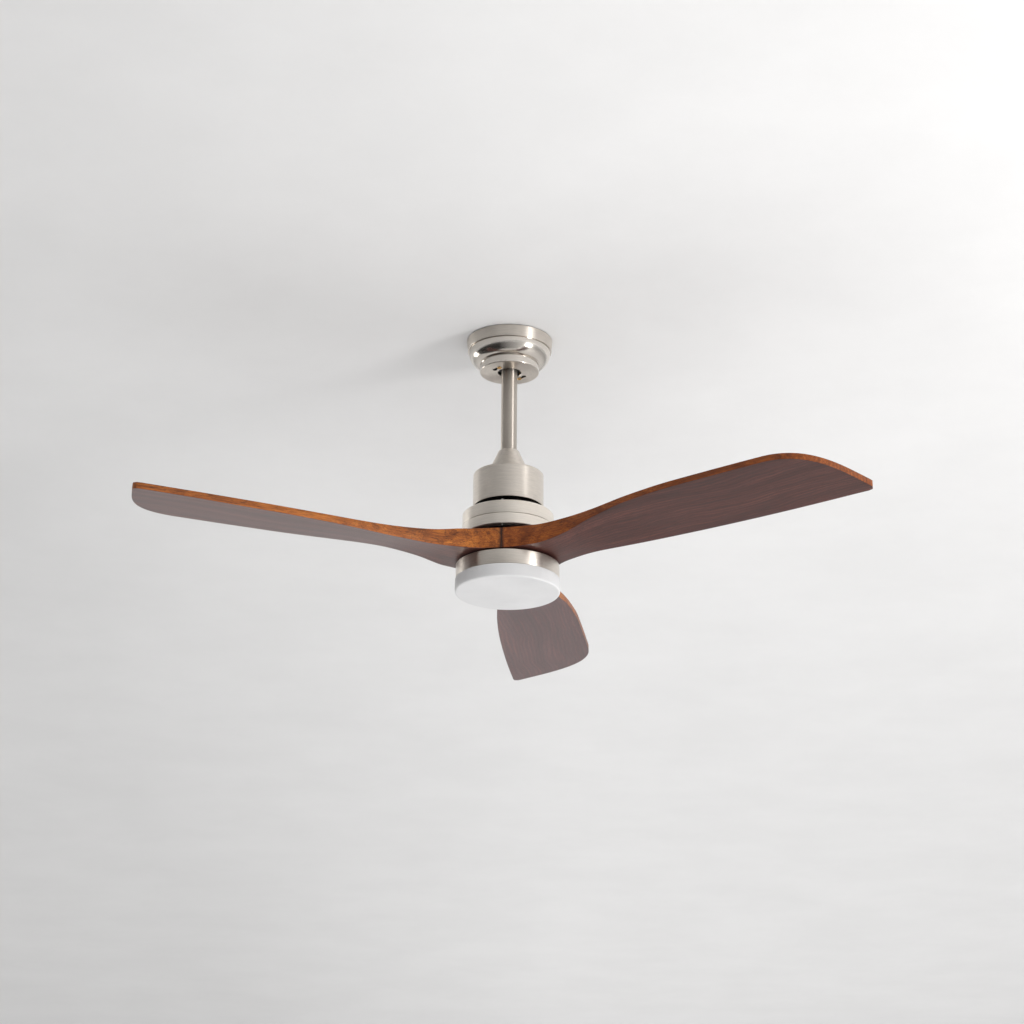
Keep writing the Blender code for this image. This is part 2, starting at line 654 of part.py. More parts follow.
def make_clevis(looks, frame):
    """The headed pin through yoke and rod, and the hairpin that keeps it in."""
    seat = YOKE_RADIUS + FIT
    end = YOKE_RADIUS + CLEVIS_PIN_PAST
    outline = [
        (0, -seat - CLEVIS_HEAD_HEIGHT),
        (CLEVIS_PIN_RADIUS * 1.5, -seat - CLEVIS_HEAD_HEIGHT),
        (CLEVIS_PIN_RADIUS * 1.5, -seat),
        (CLEVIS_PIN_RADIUS, -seat),
        (CLEVIS_PIN_RADIUS, end),
        (0, end),
    ]
    mesh = turned("clevis_pin", outline, looks["steel"], TINY)
    pin = add("clevis_pin", mesh, frame, (0, 0, CLEVIS_LEVEL), (-math.pi / 2, 0, 0))
    hole_at = end - COTTER_SETBACK
    drop = CLEVIS_PIN_RADIUS * 2
    bounds = (CLEVIS_LEVEL - drop, CLEVIS_LEVEL + drop)
    cut(pin, drills("cotter_hole", [(0, hole_at)], COTTER_WIRE + FIT, *bounds))
    bend = (CLEVIS_PIN_RADIUS + 2 * COTTER_WIRE + FIT) / 2
    top = drop - 2 * COTTER_WIRE
    route = [(0, -drop), (0, top)]
    for step in range(1, 5):
        turn = math.pi * step / 4
        route.append((bend - bend * math.cos(turn), top + bend * math.sin(turn)))
    route += [(2 * bend, -drop / 2)]
    wire = bpy.data.curves.new("cotter_pin", "CURVE")
    wire.dimensions = "3D"
    wire.bevel_depth = COTTER_WIRE
    wire.bevel_resolution = 1
    wire.use_fill_caps = True
    spline = wire.splines.new("POLY")
    spline.points.add(len(route) - 1)
    for point, (x, z) in zip(spline.points, route):
        point.co = (x, hole_at, z, 1)
    wire.materials.append(looks["steel"])
    add("cotter_pin", wire, frame, (0, 0, CLEVIS_LEVEL))


def make_coupling_cover(looks, frame):
    low = HOUSING_TOP + FIT
    hole = ROD_RADIUS + 2 * FIT
    centre = COVER_TOP_RADIUS - COVER_SHOULDER
    outline = [(hole, COVER_TOP), (centre, COVER_TOP)]
    outline += arc(centre, COVER_TOP - COVER_SHOULDER, COVER_SHOULDER, 60, 20, 2)
    outline += [(COVER_BASE_RADIUS, low), (COVER_BASE_RADIUS - COVER_WALL, low)]
    outline += [(COVER_TOP_RADIUS - COVER_WALL / 2, COVER_TOP - 2 * COVER_WALL)]
    outline += [(hole, COVER_TOP - COVER_WALL)]
    mesh = turned("coupling_cover", outline, looks["nickel"], MEDIUM)
    add("coupling_cover", mesh, frame)


# Upper housing and motor ----------------------------------------------------------------------------------


def make_housing(looks, frame):
    hole = YOKE_RADIUS + FIT
    inner = HOUSING_RADIUS - HOUSING_WALL
    corner = HOUSING_RADIUS - HOUSING_EDGE
    outline = [(hole, HOUSING_TOP)]
    outline += arc(corner, HOUSING_TOP - HOUSING_EDGE, HOUSING_EDGE, 90, 0, 4)
    outline += [(HOUSING_RADIUS, HOUSING_LOW), (inner, HOUSING_LOW)]
    outline += arc(corner, HOUSING_TOP - HOUSING_EDGE, HOUSING_EDGE - HOUSING_WALL, 0, 90, 2)
    outline += [(hole, HOUSING_TOP - HOUSING_WALL)]
    add("upper_housing", turned("upper_housing", outline, looks["nickel"]), frame)


def make_housing_base(looks, frame):
    """The black plate that closes the housing, with a neck that hides the shaft above the motor."""
    plate_low = HOUSING_LOW + BASE_RECESS
    plate_top = plate_low + BASE_PLATE
    rim = HOUSING_RADIUS - HOUSING_WALL - FIT
    neck_low = SHELL_TOP + 2 * RUN
    hole = SHAFT_RADIUS + 0.004
    outline = [(hole, plate_top), (rim, plate_top), (rim, plate_low), (NECK_RADIUS, plate_low)]
    outline += [(NECK_RADIUS, neck_low), (hole, neck_low)]
    add("housing_base", turned("housing_base", outline, looks["black"]), frame)


def make_control_board(looks, frame):
    """A ring-shaped board on the housing base, with a transformer and three capacitors."""
    low = HOUSING_LOW + BASE_RECESS + BASE_PLATE + FIT
    top = low + BOARD_THICKNESS
    rim = HOUSING_RADIUS - HOUSING_WALL - CONTROL_BOARD_GAP
    outline = [(CONTROL_BOARD_BORE, top), (rim, top), (rim, low), (CONTROL_BOARD_BORE, low)]
    board = add("control_board", turned("control_board", outline, looks["board"], MEDIUM), frame)
    sunk = top - BOARD_THICKNESS / 2
    outer = TRANSFORMER_RIM_GAP - rim
    low_corner = (-TRANSFORMER_HALF_WIDTH, outer, sunk)
    high_corner = (TRANSFORMER_HALF_WIDTH, outer + TRANSFORMER_DEPTH, top + TRANSFORMER_HEIGHT)
    parts = [(box("transformer", low_corner, high_corner, None), Matrix())]
    can = rod_outline(CAPACITOR_RADIUS, sunk, top + CAPACITOR_HEIGHT)
    for _, x, y in around(3, rim - CAPACITOR_RIM_GAP, math.radians(90)):
        parts.append((turned("capacitor", can, None, TINY), Matrix.Translation((x, y, 0))))
    join(board, helper("board_parts", merged("board_parts", parts)))


def make_shaft(looks, frame):
    top = SOCKET_LOW - YOKE_WEB - FIT
    outline = [(SHAFT_RADIUS, top), (SHAFT_RADIUS, SHAFT_LOW), (SHAFT_BORE, SHAFT_LOW), (SHAFT_BORE, top)]
    add("motor_shaft", turned("motor_shaft", outline, looks["steel"], SMALL), frame)


def stator_outline():
    """One closed outline of hub and teeth, seen along the axis."""
    points = []
    neck = TOOTH_WIDTH / 2
    shoe = 0.779 * math.pi * STATOR_RADIUS / STATOR_TEETH
    root = math.sqrt(STATOR_HUB_RADIUS**2 - neck**2)
    face = math.sqrt(STATOR_RADIUS**2 - shoe**2)
    back = STATOR_RADIUS - 1.5 * SHOE_DEPTH
    for index in range(STATOR_TEETH):
        angle = math.tau * index / STATOR_TEETH
        tooth = [
            (root, -neck),
            (STATOR_RADIUS - 2 * SHOE_DEPTH, -neck),
            (back, -shoe),
            (face, -shoe),
            (STATOR_RADIUS, 0),
            (face, shoe),
            (back, shoe),
            (STATOR_RADIUS - 2 * SHOE_DEPTH, neck),
            (root, neck),
        ]
        across, along = math.cos(angle), math.sin(angle)
        points += [(x * across - y * along, x * along + y * across) for x, y in tooth]
    return points


def make_stator(looks, frame):
    """The laminated core with its teeth, bored for the shaft, and the coils joined by a connection ring."""
    half = STATOR_HEIGHT / 2
    outline = stator_outline()
    ends = [[(x, y, z) for x, y in outline] for z in (-half, half)]
    slab = lofted("stator_core", ends, looks["lamination"])
    core = add("stator_core", slab, frame, (0, 0, STATOR_MIDDLE))
    drill = turned("stator_bore", rod_outline(SHAFT_RADIUS + FIT, -2 * half, 2 * half), None, SMALL)
    cut(core, helper("stator_bore", drill, (0, 0, STATOR_MIDDLE)))

    coil_in = STATOR_HUB_RADIUS + 0.006
    coil_out = STATOR_RADIUS - 0.011
    coils = []
    for angle, _, _ in around(STATOR_TEETH, 1.0):
        near = TOOTH_WIDTH / 2 + FIT
        far = near + COIL_BUILD
        loops = []
        for x in (coil_in, coil_out):
            outer = rectangle(x, far, half + COIL_BUILD)
            inner = rectangle(x, near, half + FIT)
            loops.append((outer, inner))
        coils.append((frame_mesh("coil", loops), Matrix.Rotation(angle, 4, "Z")))
    wound = merged("stator_windings", coils, looks["copper"])
    windings = add("stator_windings", wound, frame, (0, 0, STATOR_MIDDLE))
    low, top = half + COIL_BUILD - 0.001, half + COIL_BUILD + 0.0015
    near, far = coil_in + 0.002, coil_in + 0.006
    ring = turned("coil_ring", [(near, top), (far, top), (far, low), (near, low)], None, MEDIUM)
    join(windings, helper("coil_ring", ring, (0, 0, STATOR_MIDDLE)))


def rectangle(x, half_width, half_height):
    corners = ((-1, -1), (1, -1), (1, 1), (-1, 1))
    return [(x, side * half_width, rise * half_height) for side, rise in corners]


def frame_mesh(name, loops):
    """A rectangular frame between two pairs of outer and inner loops."""
    bm = bmesh.new()
    corners = [[[bm.verts.new(point) for point in loop] for loop in pair] for pair in loops]
    (near_out, near_in), (far_out, far_in) = corners
    for index in range(4):
        bm.faces.new((near_out[index - 1], near_out[index], near_in[index], near_in[index - 1]))
        bm.faces.new((far_out[index - 1], far_out[index], far_in[index], far_in[index - 1]))
        bm.faces.new((near_out[index - 1], near_out[index], far_out[index], far_out[index - 1]))
        bm.faces.new((near_in[index - 1], near_in[index], far_in[index], far_in[index - 1]))
    return mesh_of(name, bm, None)


def make_bearings(looks, still, rotor):
    """Two bearings, each with a still inner race on the shaft and an outer race that turns with the shell."""
    inner = SHAFT_RADIUS + FIT
    for end, low in (("upper", UPPER_RACE_TOP - RACE_WIDTH), ("lower", LOWER_RACE_LOW)):
        top = low + RACE_WIDTH
        name = f"{end}_bearing_inner_race"
        race = inner + RACE_THICKNESS
        outline = [(inner, top), (race, top), (race, low), (inner, low)]
        add(name, turned(name, outline, looks["steel"], SMALL), still)
        name = f"{end}_bearing_outer_race"
        rim = RACE_OUTER_RADIUS
        outline = [(rim - RACE_THICKNESS, top), (rim, top), (rim, low), (rim - RACE_THICKNESS, low)]
        add(name, turned(name, outline, looks["steel"], SMALL), rotor)


def make_shell(looks, rotor):
    """The two halves of the motor's turning shell and the screws through them."""
    seat = RACE_OUTER_RADIUS + FIT
    boss = seat + 0.003
    inner = SHELL_RADIUS - SHELL_WALL
    upper_in = SHELL_TOP - SHELL_PLATE
    upper = [
        (seat, SHELL_TOP),
        (SHELL_RADIUS - SHELL_CHAMFER, SHELL_TOP),
        (SHELL_RADIUS, SHELL_TOP - SHELL_CHAMFER),
        (SHELL_RADIUS, SHELL_SEAM + FIT / 2),
        (inner, SHELL_SEAM + FIT / 2),
        (inner, upper_in),
        (boss, upper_in),
        (boss, SHELL_TOP - RACE_WIDTH - 0.001),
        (seat, SHELL_TOP - RACE_WIDTH - 0.001),
    ]
    lower_in = SHELL_LOW + SHELL_PLATE
    edge = 0.001
    lower = [
        (seat, SHELL_LOW),
        (SHELL_RADIUS - edge, SHELL_LOW),
        (SHELL_RADIUS, SHELL_LOW + edge),
        (SHELL_RADIUS, SHELL_SEAM - FIT / 2),
        (inner, SHELL_SEAM - FIT / 2),
        (inner, lower_in),
        (boss, lower_in),
        (boss, SHELL_LOW + RACE_WIDTH + 0.001),
        (seat, SHELL_LOW + RACE_WIDTH + 0.001),
    ]
    top_half = add("motor_shell_top", turned("motor_shell_top", upper, looks["nickel"]), rotor)
    low_half = add("motor_shell_bottom", turned("motor_shell_bottom", lower, looks["nickel"]), rotor)
    spots = around(SHELL_SCREW_COUNT, SHELL_SCREW_CIRCLE, SHELL_SCREW_ANGLE)
    places = [(x, y) for _, x, y in spots]
    holes = drills("shell_screw_holes", places, SHELL_SCREW_RADIUS + FIT, SHELL_LOW - 0.01, SHELL_TOP + 0.01)
    cut(top_half, holes)
    cut(low_half, holes)
    length = SHELL_TOP - SHELL_LOW + SHELL_SCREW_PAST
    mesh = screw_mesh("shell_screw", 0.0026, 0.0018, SHELL_SCREW_RADIUS, length, looks["steel"])
    for index, (x, y) in enumerate(places, 1):
        add(f"shell_screw_{index}", mesh, rotor, (x, y, SHELL_TOP + FIT))


def make_magnets(looks, rotor):
    inner = STATOR_RADIUS + AIR_GAP
    outer = inner + MAGNET_THICKNESS
    top = SHELL_TOP - SHELL_PLATE - FIT
    low = SHELL_LOW + SHELL_PLATE + FIT
    outline = [(inner, top), (outer, top), (outer, low), (inner, low)]
    add("magnet_ring", turned("magnet_ring", outline, looks["magnet"]), rotor)


# Blades ---------------------------------------------------------------------------------------------------


def blade_screw_places():
    places = []
    for angle, _, _ in around(BLADE_COUNT, 1.0, BLADE_AZIMUTH):
        for side in (-1, 1):
            spot = angle + side * BLADE_SCREW_ANGLE
            places.append((BLADE_SCREW_CIRCLE * math.cos(spot), BLADE_SCREW_CIRCLE * math.sin(spot)))
    return places


def make_flange(looks, rotor):
    """The black disc under the motor that the blade roots are screwed to."""
    top = SHELL_LOW - FIT
    low = HUB_TOP + FIT
    outline = [(FLANGE_BORE, top), (FLANGE_RADIUS, top), (FLANGE_RADIUS, low), (FLANGE_BORE, low)]
    flange = add("blade_flange", turned("blade_flange", outline, looks["black"]), rotor)
    bounds = (low - LOWER_GAP, top + LOWER_GAP)
    cut(flange, drills("flange_threads", blade_screw_places(), BLADE_SCREW_RADIUS + FIT, *bounds))


def smooth_curve(knots, values, first_slope=None):
    """A smooth function through the values at rising knots. It never swings past them."""
    count = len(knots)
    rises = [(values[i + 1] - values[i]) / (knots[i + 1] - knots[i]) for i in range(count - 1)]
    slopes = [rises[0]]
    for before, after in zip(rises, rises[1:]):
        slopes.append(2 * before * after / (before + after) if before * after > 0 else 0.0)
    slopes.append(rises[-1])
    if first_slope is not None:
        slopes[0] = first_slope

    def value_at(x):
        index = max(i for i in range(count - 1) if i == 0 or knots[i] <= x)
        width = knots[index + 1] - knots[index]
        share = min(max((x - knots[index]) / width, 0.0), 1.0)
        start, end = values[index], values[index + 1]
        bend = width * (slopes[index] * (1 - share) - slopes[index + 1] * share)
        ease = share * share * (3 - 2 * share)
        return start + (end - start) * ease + share * (1 - share) * bend

    return value_at


class BladePlan:
    """The blade's plan and thickness: x runs along the blade, y to the trailing edge, z up from the hub."""

    def __init__(self):
        seam = math.pi / BLADE_COUNT
        trail_tip = BLADE_STATIONS[-1][2]
        self.corner = Vector((0, trail_tip - TIP_CORNER))
        self.corner.x = math.sqrt((SWEEP_RADIUS - TIP_CORNER) ** 2 - self.corner.y**2)
        self.root = HUB_RADIUS * math.cos(seam)
        self.tip = self.corner.x + TIP_CORNER
        self.seam_slope = math.tan(seam)
        half = HUB_RADIUS * math.sin(seam)
        at_root = (half, half, 0.0, 0.0, HUB_THICKNESS, HUB_THICKNESS)
        knots = [self.root + row[0] * (self.tip - self.root) for row in BLADE_STATIONS]
        columns = [at_root] + [row[1:] for row in BLADE_STATIONS[1:]]
        square_to_seam = -1 / self.seam_slope
        curves = []
        for index in range(6):
            slope = square_to_seam if index < 2 else 0.0
            curves.append(smooth_curve(knots, [row[index] for row in columns], slope))
        self.lead, self.trail = curves[:2]
        self.lead_lift, self.trail_lift = curves[2:4]
        self.lead_thick, self.trail_thick = curves[4:]

    def edges(self, x):
        """The y of the leading and trailing edge, where the tip's slant is left out."""
        if x < self.root:
            half = self.seam_slope * x - FIT / 2 / math.cos(math.pi / BLADE_COUNT)
            return -half, half
        fade = max(0.0, 1 - (x - self.root) / self.root)
        shrink = fade * FIT / 2 / math.cos(math.pi / BLADE_COUNT)
        return shrink - self.lead(x), self.trail(x) - shrink

    def surface(self, x, y):
        """The heights of the lower and upper surface over the hub's bottom."""
        low_y, high_y = self.edges(x)
        share = (y - low_y) / (high_y - low_y)
        lift = self.lead_lift(x) + (self.trail_lift(x) - self.lead_lift(x)) * share
        thick = self.lead_thick(x) + (self.trail_thick(x) - self.lead_thick(x)) * share
        return lift, lift + thick

    def tip_outline(self, start, steps=10):
        """The leading edge from x = start to the slanted tip, and the trailing edge back to x = start."""
        slant = self.root + TIP_SLANT_START * (self.tip - self.root)
        ahead = [Vector((x, self.edges(x)[0])) for x in (start, (start + slant) / 2)]
        tilt = math.radians(14)
        end = self.corner + TIP_CORNER * Vector((math.cos(tilt), -math.sin(tilt)))
        first = Vector((slant, self.edges(slant)[0]))
        bulge = self.tip - 0.024
        handles = (Vector((bulge, first.y - 0.002)), end - 0.060 * Vector((math.sin(tilt), math.cos(tilt))))
        around_tip = []
        for step in range(steps + 1):
            t = step / steps
            s = 1 - t
            bend = 3 * s * s * t * handles[0] + 3 * s * t * t * handles[1]
            around_tip.append(s**3 * first + bend + t**3 * end)
        corner = []
        for step in range(1, 4):
            angle = -tilt + (math.pi / 2 + tilt) * step / 3
            corner.append(self.corner + TIP_CORNER * Vector((math.cos(angle), math.sin(angle))))
        middle = (self.corner.x + start) / 2
        behind = [Vector((x, self.edges(x)[1])) for x in (middle, start)]
        return ahead + around_tip, corner + behind


def spaced(line, shares):
    """Points at shares of the length of a line of points."""
    lengths = [0.0]
    for first, second in zip(line, line[1:]):
        lengths.append(lengths[-1] + (second - first).length)
    found = []
    for part in shares:
        target = lengths[-1] * part
        index = max(i for i in range(len(line) - 1) if i == 0 or lengths[i] <= target)
        share = (target - lengths[index]) / (lengths[index + 1] - lengths[index])
        found.append(line[index].lerp(line[index + 1], min(share, 1.0)))
    return found


def tip_patch(plan, start, rows):
    """A grid of plan points over the blade's end, its sides along the leading edge, tip and trailing edge."""
    ahead, behind = plan.tip_outline(start)
    turn = next(i for i, point in enumerate(ahead) if point.x > plan.tip - 0.055)
    along = [row / (rows - 1) for row in range(rows)]
    leading = spaced(ahead[: turn + 1], along)
    end = spaced(ahead[turn:] + behind[:2], ACROSS_BLADE)
    trailing = spaced([*reversed(behind[1:])], along)
    near = [leading[0].lerp(trailing[0], v) for v in ACROSS_BLADE]
    grid = []
    for row, u in enumerate(along):
        line = []
        for column, v in enumerate(ACROSS_BLADE):
            ruled = leading[row].lerp(trailing[row], v) + near[column].lerp(end[column], u)
            corners = leading[0].lerp(leading[-1], u).lerp(trailing[0].lerp(trailing[-1], u), v)
            line.append(ruled - corners)
        grid.append(line)
    return grid


def blade_mesh(material):
    """Upper and lower surface over one grid of plan points, closed round the outline."""
    plan = BladePlan()
    start = plan.root + 0.76 * (plan.tip - plan.root)
    spans = [0.008, plan.root / 2, plan.root]
    free_rows = 15
    spans += [plan.root + (start - plan.root) * (row / free_rows) ** 1.15 for row in range(1, free_rows)]
    grid = []
    for x in spans:
        low_y, high_y = plan.edges(x)
        grid.append([Vector((x, low_y + (high_y - low_y) * share)) for share in ACROSS_BLADE])
    grid += tip_patch(plan, start, 6)
    bm = bmesh.new()
    lower, upper = [], []
    for line in grid:
        heights = [plan.surface(point.x, point.y) for point in line]
        lower.append([bm.verts.new((*point, low)) for point, (low, _) in zip(line, heights)])
        upper.append([bm.verts.new((*point, high)) for point, (_, high) in zip(line, heights)])
    for layer in (lower, upper):
        for near, far in zip(layer, layer[1:]):
            for index in range(len(ACROSS_BLADE) - 1):
                bm.faces.new((near[index], near[index + 1], far[index + 1], far[index]))
    rims = []
    for layer in (lower, upper):
        rim = layer[0] + [line[-1] for line in layer[1:]]
        rim += layer[-1][-2::-1] + [line[0] for line in layer[-2:0:-1]]
        rims.append(rim)
    below, above = rims
    for index in range(len(below)):
        bm.faces.new((below[index - 1], below[index], above[index], above[index - 1]))
    return mesh_of("blade", bm, material)


def make_blades(looks, rotor):
    """Three blades, and the screws that come up through their roots into the flange."""
    mesh = blade_mesh(looks["walnut"])
    places = blade_screw_places()
    head_seat = HUB_LOW + BLADE_SCREW_HEAD_HEIGHT + 2 * FIT
    over, under = HUB_TOP + 0.01, HUB_LOW - 0.01
    bits = [(turned("hub_bore", rod_outline(HUB_BORE, under, over), None, ROUND), Matrix())]
    shank = BLADE_SCREW_RADIUS + FIT
    recess = BLADE_SCREW_HEAD + FIT
    sunk = head_seat + FIT
    drill = [(0, over), (shank, over), (shank, sunk), (recess, sunk), (recess, under), (0, under)]
    for x, y in places:
        bits.append((turned("blade_drill", drill, None, TINY), Matrix.Translation((x, y, 0))))
    holes = helper("blade_holes", merged("blade_holes", bits))
    for index, (angle, _, _) in enumerate(around(BLADE_COUNT, 1.0, BLADE_AZIMUTH), 1):
        blade = add(f"blade_{index}", mesh, rotor, (0, 0, HUB_LOW), (0, 0, angle))
        cut(blade, holes)
    length = HUB_TOP - head_seat + LOWER_GAP - 3 * FIT
    size = (BLADE_SCREW_HEAD, BLADE_SCREW_HEAD_HEIGHT, BLADE_SCREW_RADIUS, length)
    screw = screw_mesh("blade_screw", *size, looks["steel"])
    for index, (x, y) in enumerate(places, 1):
        add(f"blade_screw_{index}", screw, rotor, (x, y, head_seat), (math.pi, 0, 0))


# Light ----------------------------------------------------------------------------------------------------


def lug_mesh(inner, outer, low, high):
    """Blocks spread round a ring, for one half of a bayonet catch."""
    blocks = []
    for angle, _, _ in around(LUG_COUNT, 1.0, math.pi / 2):
        sections = arc_block(inner, outer, low, high, angle, LUG_ARC)
        blocks.append((lofted("lug", sections, None), Matrix()))
    return merged("lugs", blocks)


def make_light_ring(looks, frame):
    """The nickel ring round the light, with three tabs inside that hold the diffuser's lugs."""
    edge = 0.001
    inner = LIGHT_RING_RADIUS - LIGHT_RING_WALL
    under = RING_TOP - LIGHT_RING_WALL
    bore = SHAFT_RADIUS + FIT
    outline = [(bore, RING_TOP), (LIGHT_RING_RADIUS - edge, RING_TOP)]
    outline += [(LIGHT_RING_RADIUS, RING_TOP - edge), (LIGHT_RING_RADIUS, RING_LOW)]
    outline += [(inner, RING_LOW), (inner, under), (bore, under)]
    ring = add("light_ring", turned("light_ring", outline, looks["nickel"]), frame)
    low = RING_LOW + DIFFUSER_LIP - 2 * LUG_HEIGHT - 2 * FIT
    tabs = lug_mesh(inner - LUG_REACH, inner + LIGHT_RING_WALL / 2, low, low + LUG_HEIGHT)
    join(ring, helper("ring_tabs", tabs))
    places = [(x, y) for _, x, y in around(3, STANDOFF_CIRCLE, math.radians(30))]
    cut(ring, drills("ring_holes", places, 0.002 + FIT, under - 0.01, RING_TOP + 0.01))


def make_light_mount(looks, frame):
    """The plate on the shaft's end, its nut, and the standoffs that clamp the ring and carry the board."""
    bore = SHAFT_RADIUS + FIT
    low = LIGHT_PLATE_TOP - LIGHT_PLATE_THICKNESS
    outline = [(bore, LIGHT_PLATE_TOP), (LIGHT_PLATE_RADIUS, LIGHT_PLATE_TOP)]
    outline += [(LIGHT_PLATE_RADIUS, low), (bore, low)]
    plate = add("light_plate", turned("light_plate", outline, looks["steel"], MEDIUM), frame)
    places = [(x, y) for _, x, y in around(3, STANDOFF_CIRCLE, math.radians(30))]
    stud = 0.002
    cut(plate, drills("plate_holes", places, stud + FIT, low - 0.01, LIGHT_PLATE_TOP + 0.01))
    hexagon = prism("shaft_nut", 6, NUT_FLAT, NUT_TOP - NUT_HEIGHT, NUT_TOP, looks["steel"])
    nut = add("shaft_nut", hexagon, frame)
    drill = rod_outline(bore, NUT_TOP - 2 * NUT_HEIGHT, NUT_TOP + NUT_HEIGHT)
    cut(nut, helper("nut_bore", turned("nut_bore", drill, None, SMALL)))
    reach = LIGHT_PLATE_THICKNESS + LIGHT_RING_WALL + FIT
    tap = 0.0012 + FIT
    post = [
        (0, reach),
        (stud, reach),
        (stud, 0),
        (STANDOFF_RADIUS, 0),
        (STANDOFF_RADIUS, -STANDOFF_HEIGHT),
        (tap, -STANDOFF_HEIGHT),
        (tap, -STANDOFF_HEIGHT / 2),
        (0, -STANDOFF_HEIGHT / 2),
    ]
    mesh = turned("standoff", post, looks["brass"], TINY)
    head_level = BOARD_LOW - FIT
    length = STANDOFF_HEIGHT / 2
    screw = screw_mesh("board_screw", 0.0024, 0.0014, 0.0012, length, looks["steel"])
    for index, (x, y) in enumerate(places, 1):
        add(f"standoff_{index}", mesh, frame, (x, y, NUT_TOP))
        add(f"board_screw_{index}", screw, frame, (x, y, head_level), (math.pi, 0, 0))


def make_led_board(looks, frame):
    """A round board whose rows of emitters face down, with a hole in the middle for the lead."""
    rim = LIGHT_RING_RADIUS - LIGHT_RING_WALL - BOARD_RIM_GAP
    outline = [(0.016, BOARD_TOP), (rim, BOARD_TOP), (rim, BOARD_LOW), (0.016, BOARD_LOW)]
    board = add("led_board", turned("led_board", outline, looks["white_board"]), frame)
    chips = []
    half = EMITTER_HALF
    low_corner, high_corner = (-half, -half, BOARD_LOW - 0.0008), (half, half, BOARD_LOW + 0.0006)
    for circle, count in ((EMITTER_CIRCLE, 6), (rim - EMITTER_RIM_GAP, 12)):
        for angle, x, y in around(count, circle):
            chip = box("emitter", low_corner, high_corner, None)
            chips.append((chip, Matrix.Translation((x, y, 0)) @ Matrix.Rotation(angle, 4, "Z")))
    join(board, helper("emitters", merged("emitters", chips)))
    places = [(x, y) for _, x, y in around(3, STANDOFF_CIRCLE, math.radians(30))]
    cut(board, drills("board_holes", places, 0.0012 + FIT, BOARD_LOW - 0.01, BOARD_TOP + 0.01))


def make_led_driver(looks, frame):
    top = LIGHT_PLATE_TOP
    half = DRIVER_LENGTH / 2
    low_corner = (-half, DRIVER_OFFSET - DRIVER_WIDTH / 2, top - DRIVER_HEIGHT)
    high_corner = (half, DRIVER_OFFSET + DRIVER_WIDTH / 2, top)
    add("led_driver", box("led_driver", low_corner, high_corner, looks["plastic"]), frame)


def make_diffuser(looks, holder):
    """The frosted cup, with a lip inside the ring and three lugs over the ring's tabs."""
    rim = RING_LOW - FIT
    lip_top = RING_LOW + DIFFUSER_LIP
    lip = LIGHT_RING_RADIUS - LIGHT_RING_WALL - FIT - LUG_REACH
    lip_in = lip - 0.0018
    inner = DIFFUSER_RADIUS - DIFFUSER_WALL
    floor = DIFFUSER_LOW + DIFFUSER_BOW
    edge_centre = DIFFUSER_RADIUS - DIFFUSER_EDGE
    middle, rise = edge_centre * 0.6, DIFFUSER_BOW / 3
    outline = [(0, DIFFUSER_LOW + DIFFUSER_WALL), (middle, DIFFUSER_LOW + DIFFUSER_WALL + rise)]
    outline += [(inner - DIFFUSER_EDGE / 2, floor + DIFFUSER_WALL)]
    outline += [(inner, floor + DIFFUSER_WALL + DIFFUSER_EDGE / 2)]
    outline += [(inner, rim - 0.004), (lip_in, rim - 0.0022), (lip_in, lip_top), (lip, lip_top)]
    outline += [(lip, rim), (DIFFUSER_RADIUS, rim)]
    outline += arc(edge_centre, floor + DIFFUSER_EDGE, DIFFUSER_EDGE, 0, -90, 4)
    outline += [(middle, DIFFUSER_LOW + rise), (0, DIFFUSER_LOW)]
    diffuser = add("diffuser", turned("diffuser", outline, looks["frosted"]), holder)
    lugs = lug_mesh(lip - 0.0006, lip + LUG_REACH - 2 * FIT, lip_top - LUG_HEIGHT, lip_top - FIT)
    join(diffuser, helper("diffuser_lugs", lugs))


# Lead -----------------------------------------------------------------------------------------------------


def smooth_route(points, steps):
    """Points on a smooth curve through the given ones, steps of them for each stretch."""
    knots = [Vector(point) for point in points]
    ends = [2 * knots[0] - knots[1], *knots, 2 * knots[-1] - knots[-2]]
    found = [knots[0]]
    for before, start, end, after in zip(ends, ends[1:], ends[2:], ends[3:]):
        for step in range(1, steps + 1):
            t = step / steps
            bend = t * t * (3 - 2 * t)
            leave = (end - before) / 2 * (t**3 - 2 * t * t + t)
            arrive = (after - start) / 2 * (t**3 - t * t)
            found.append(start + (end - start) * bend + leave + arrive)
    return found


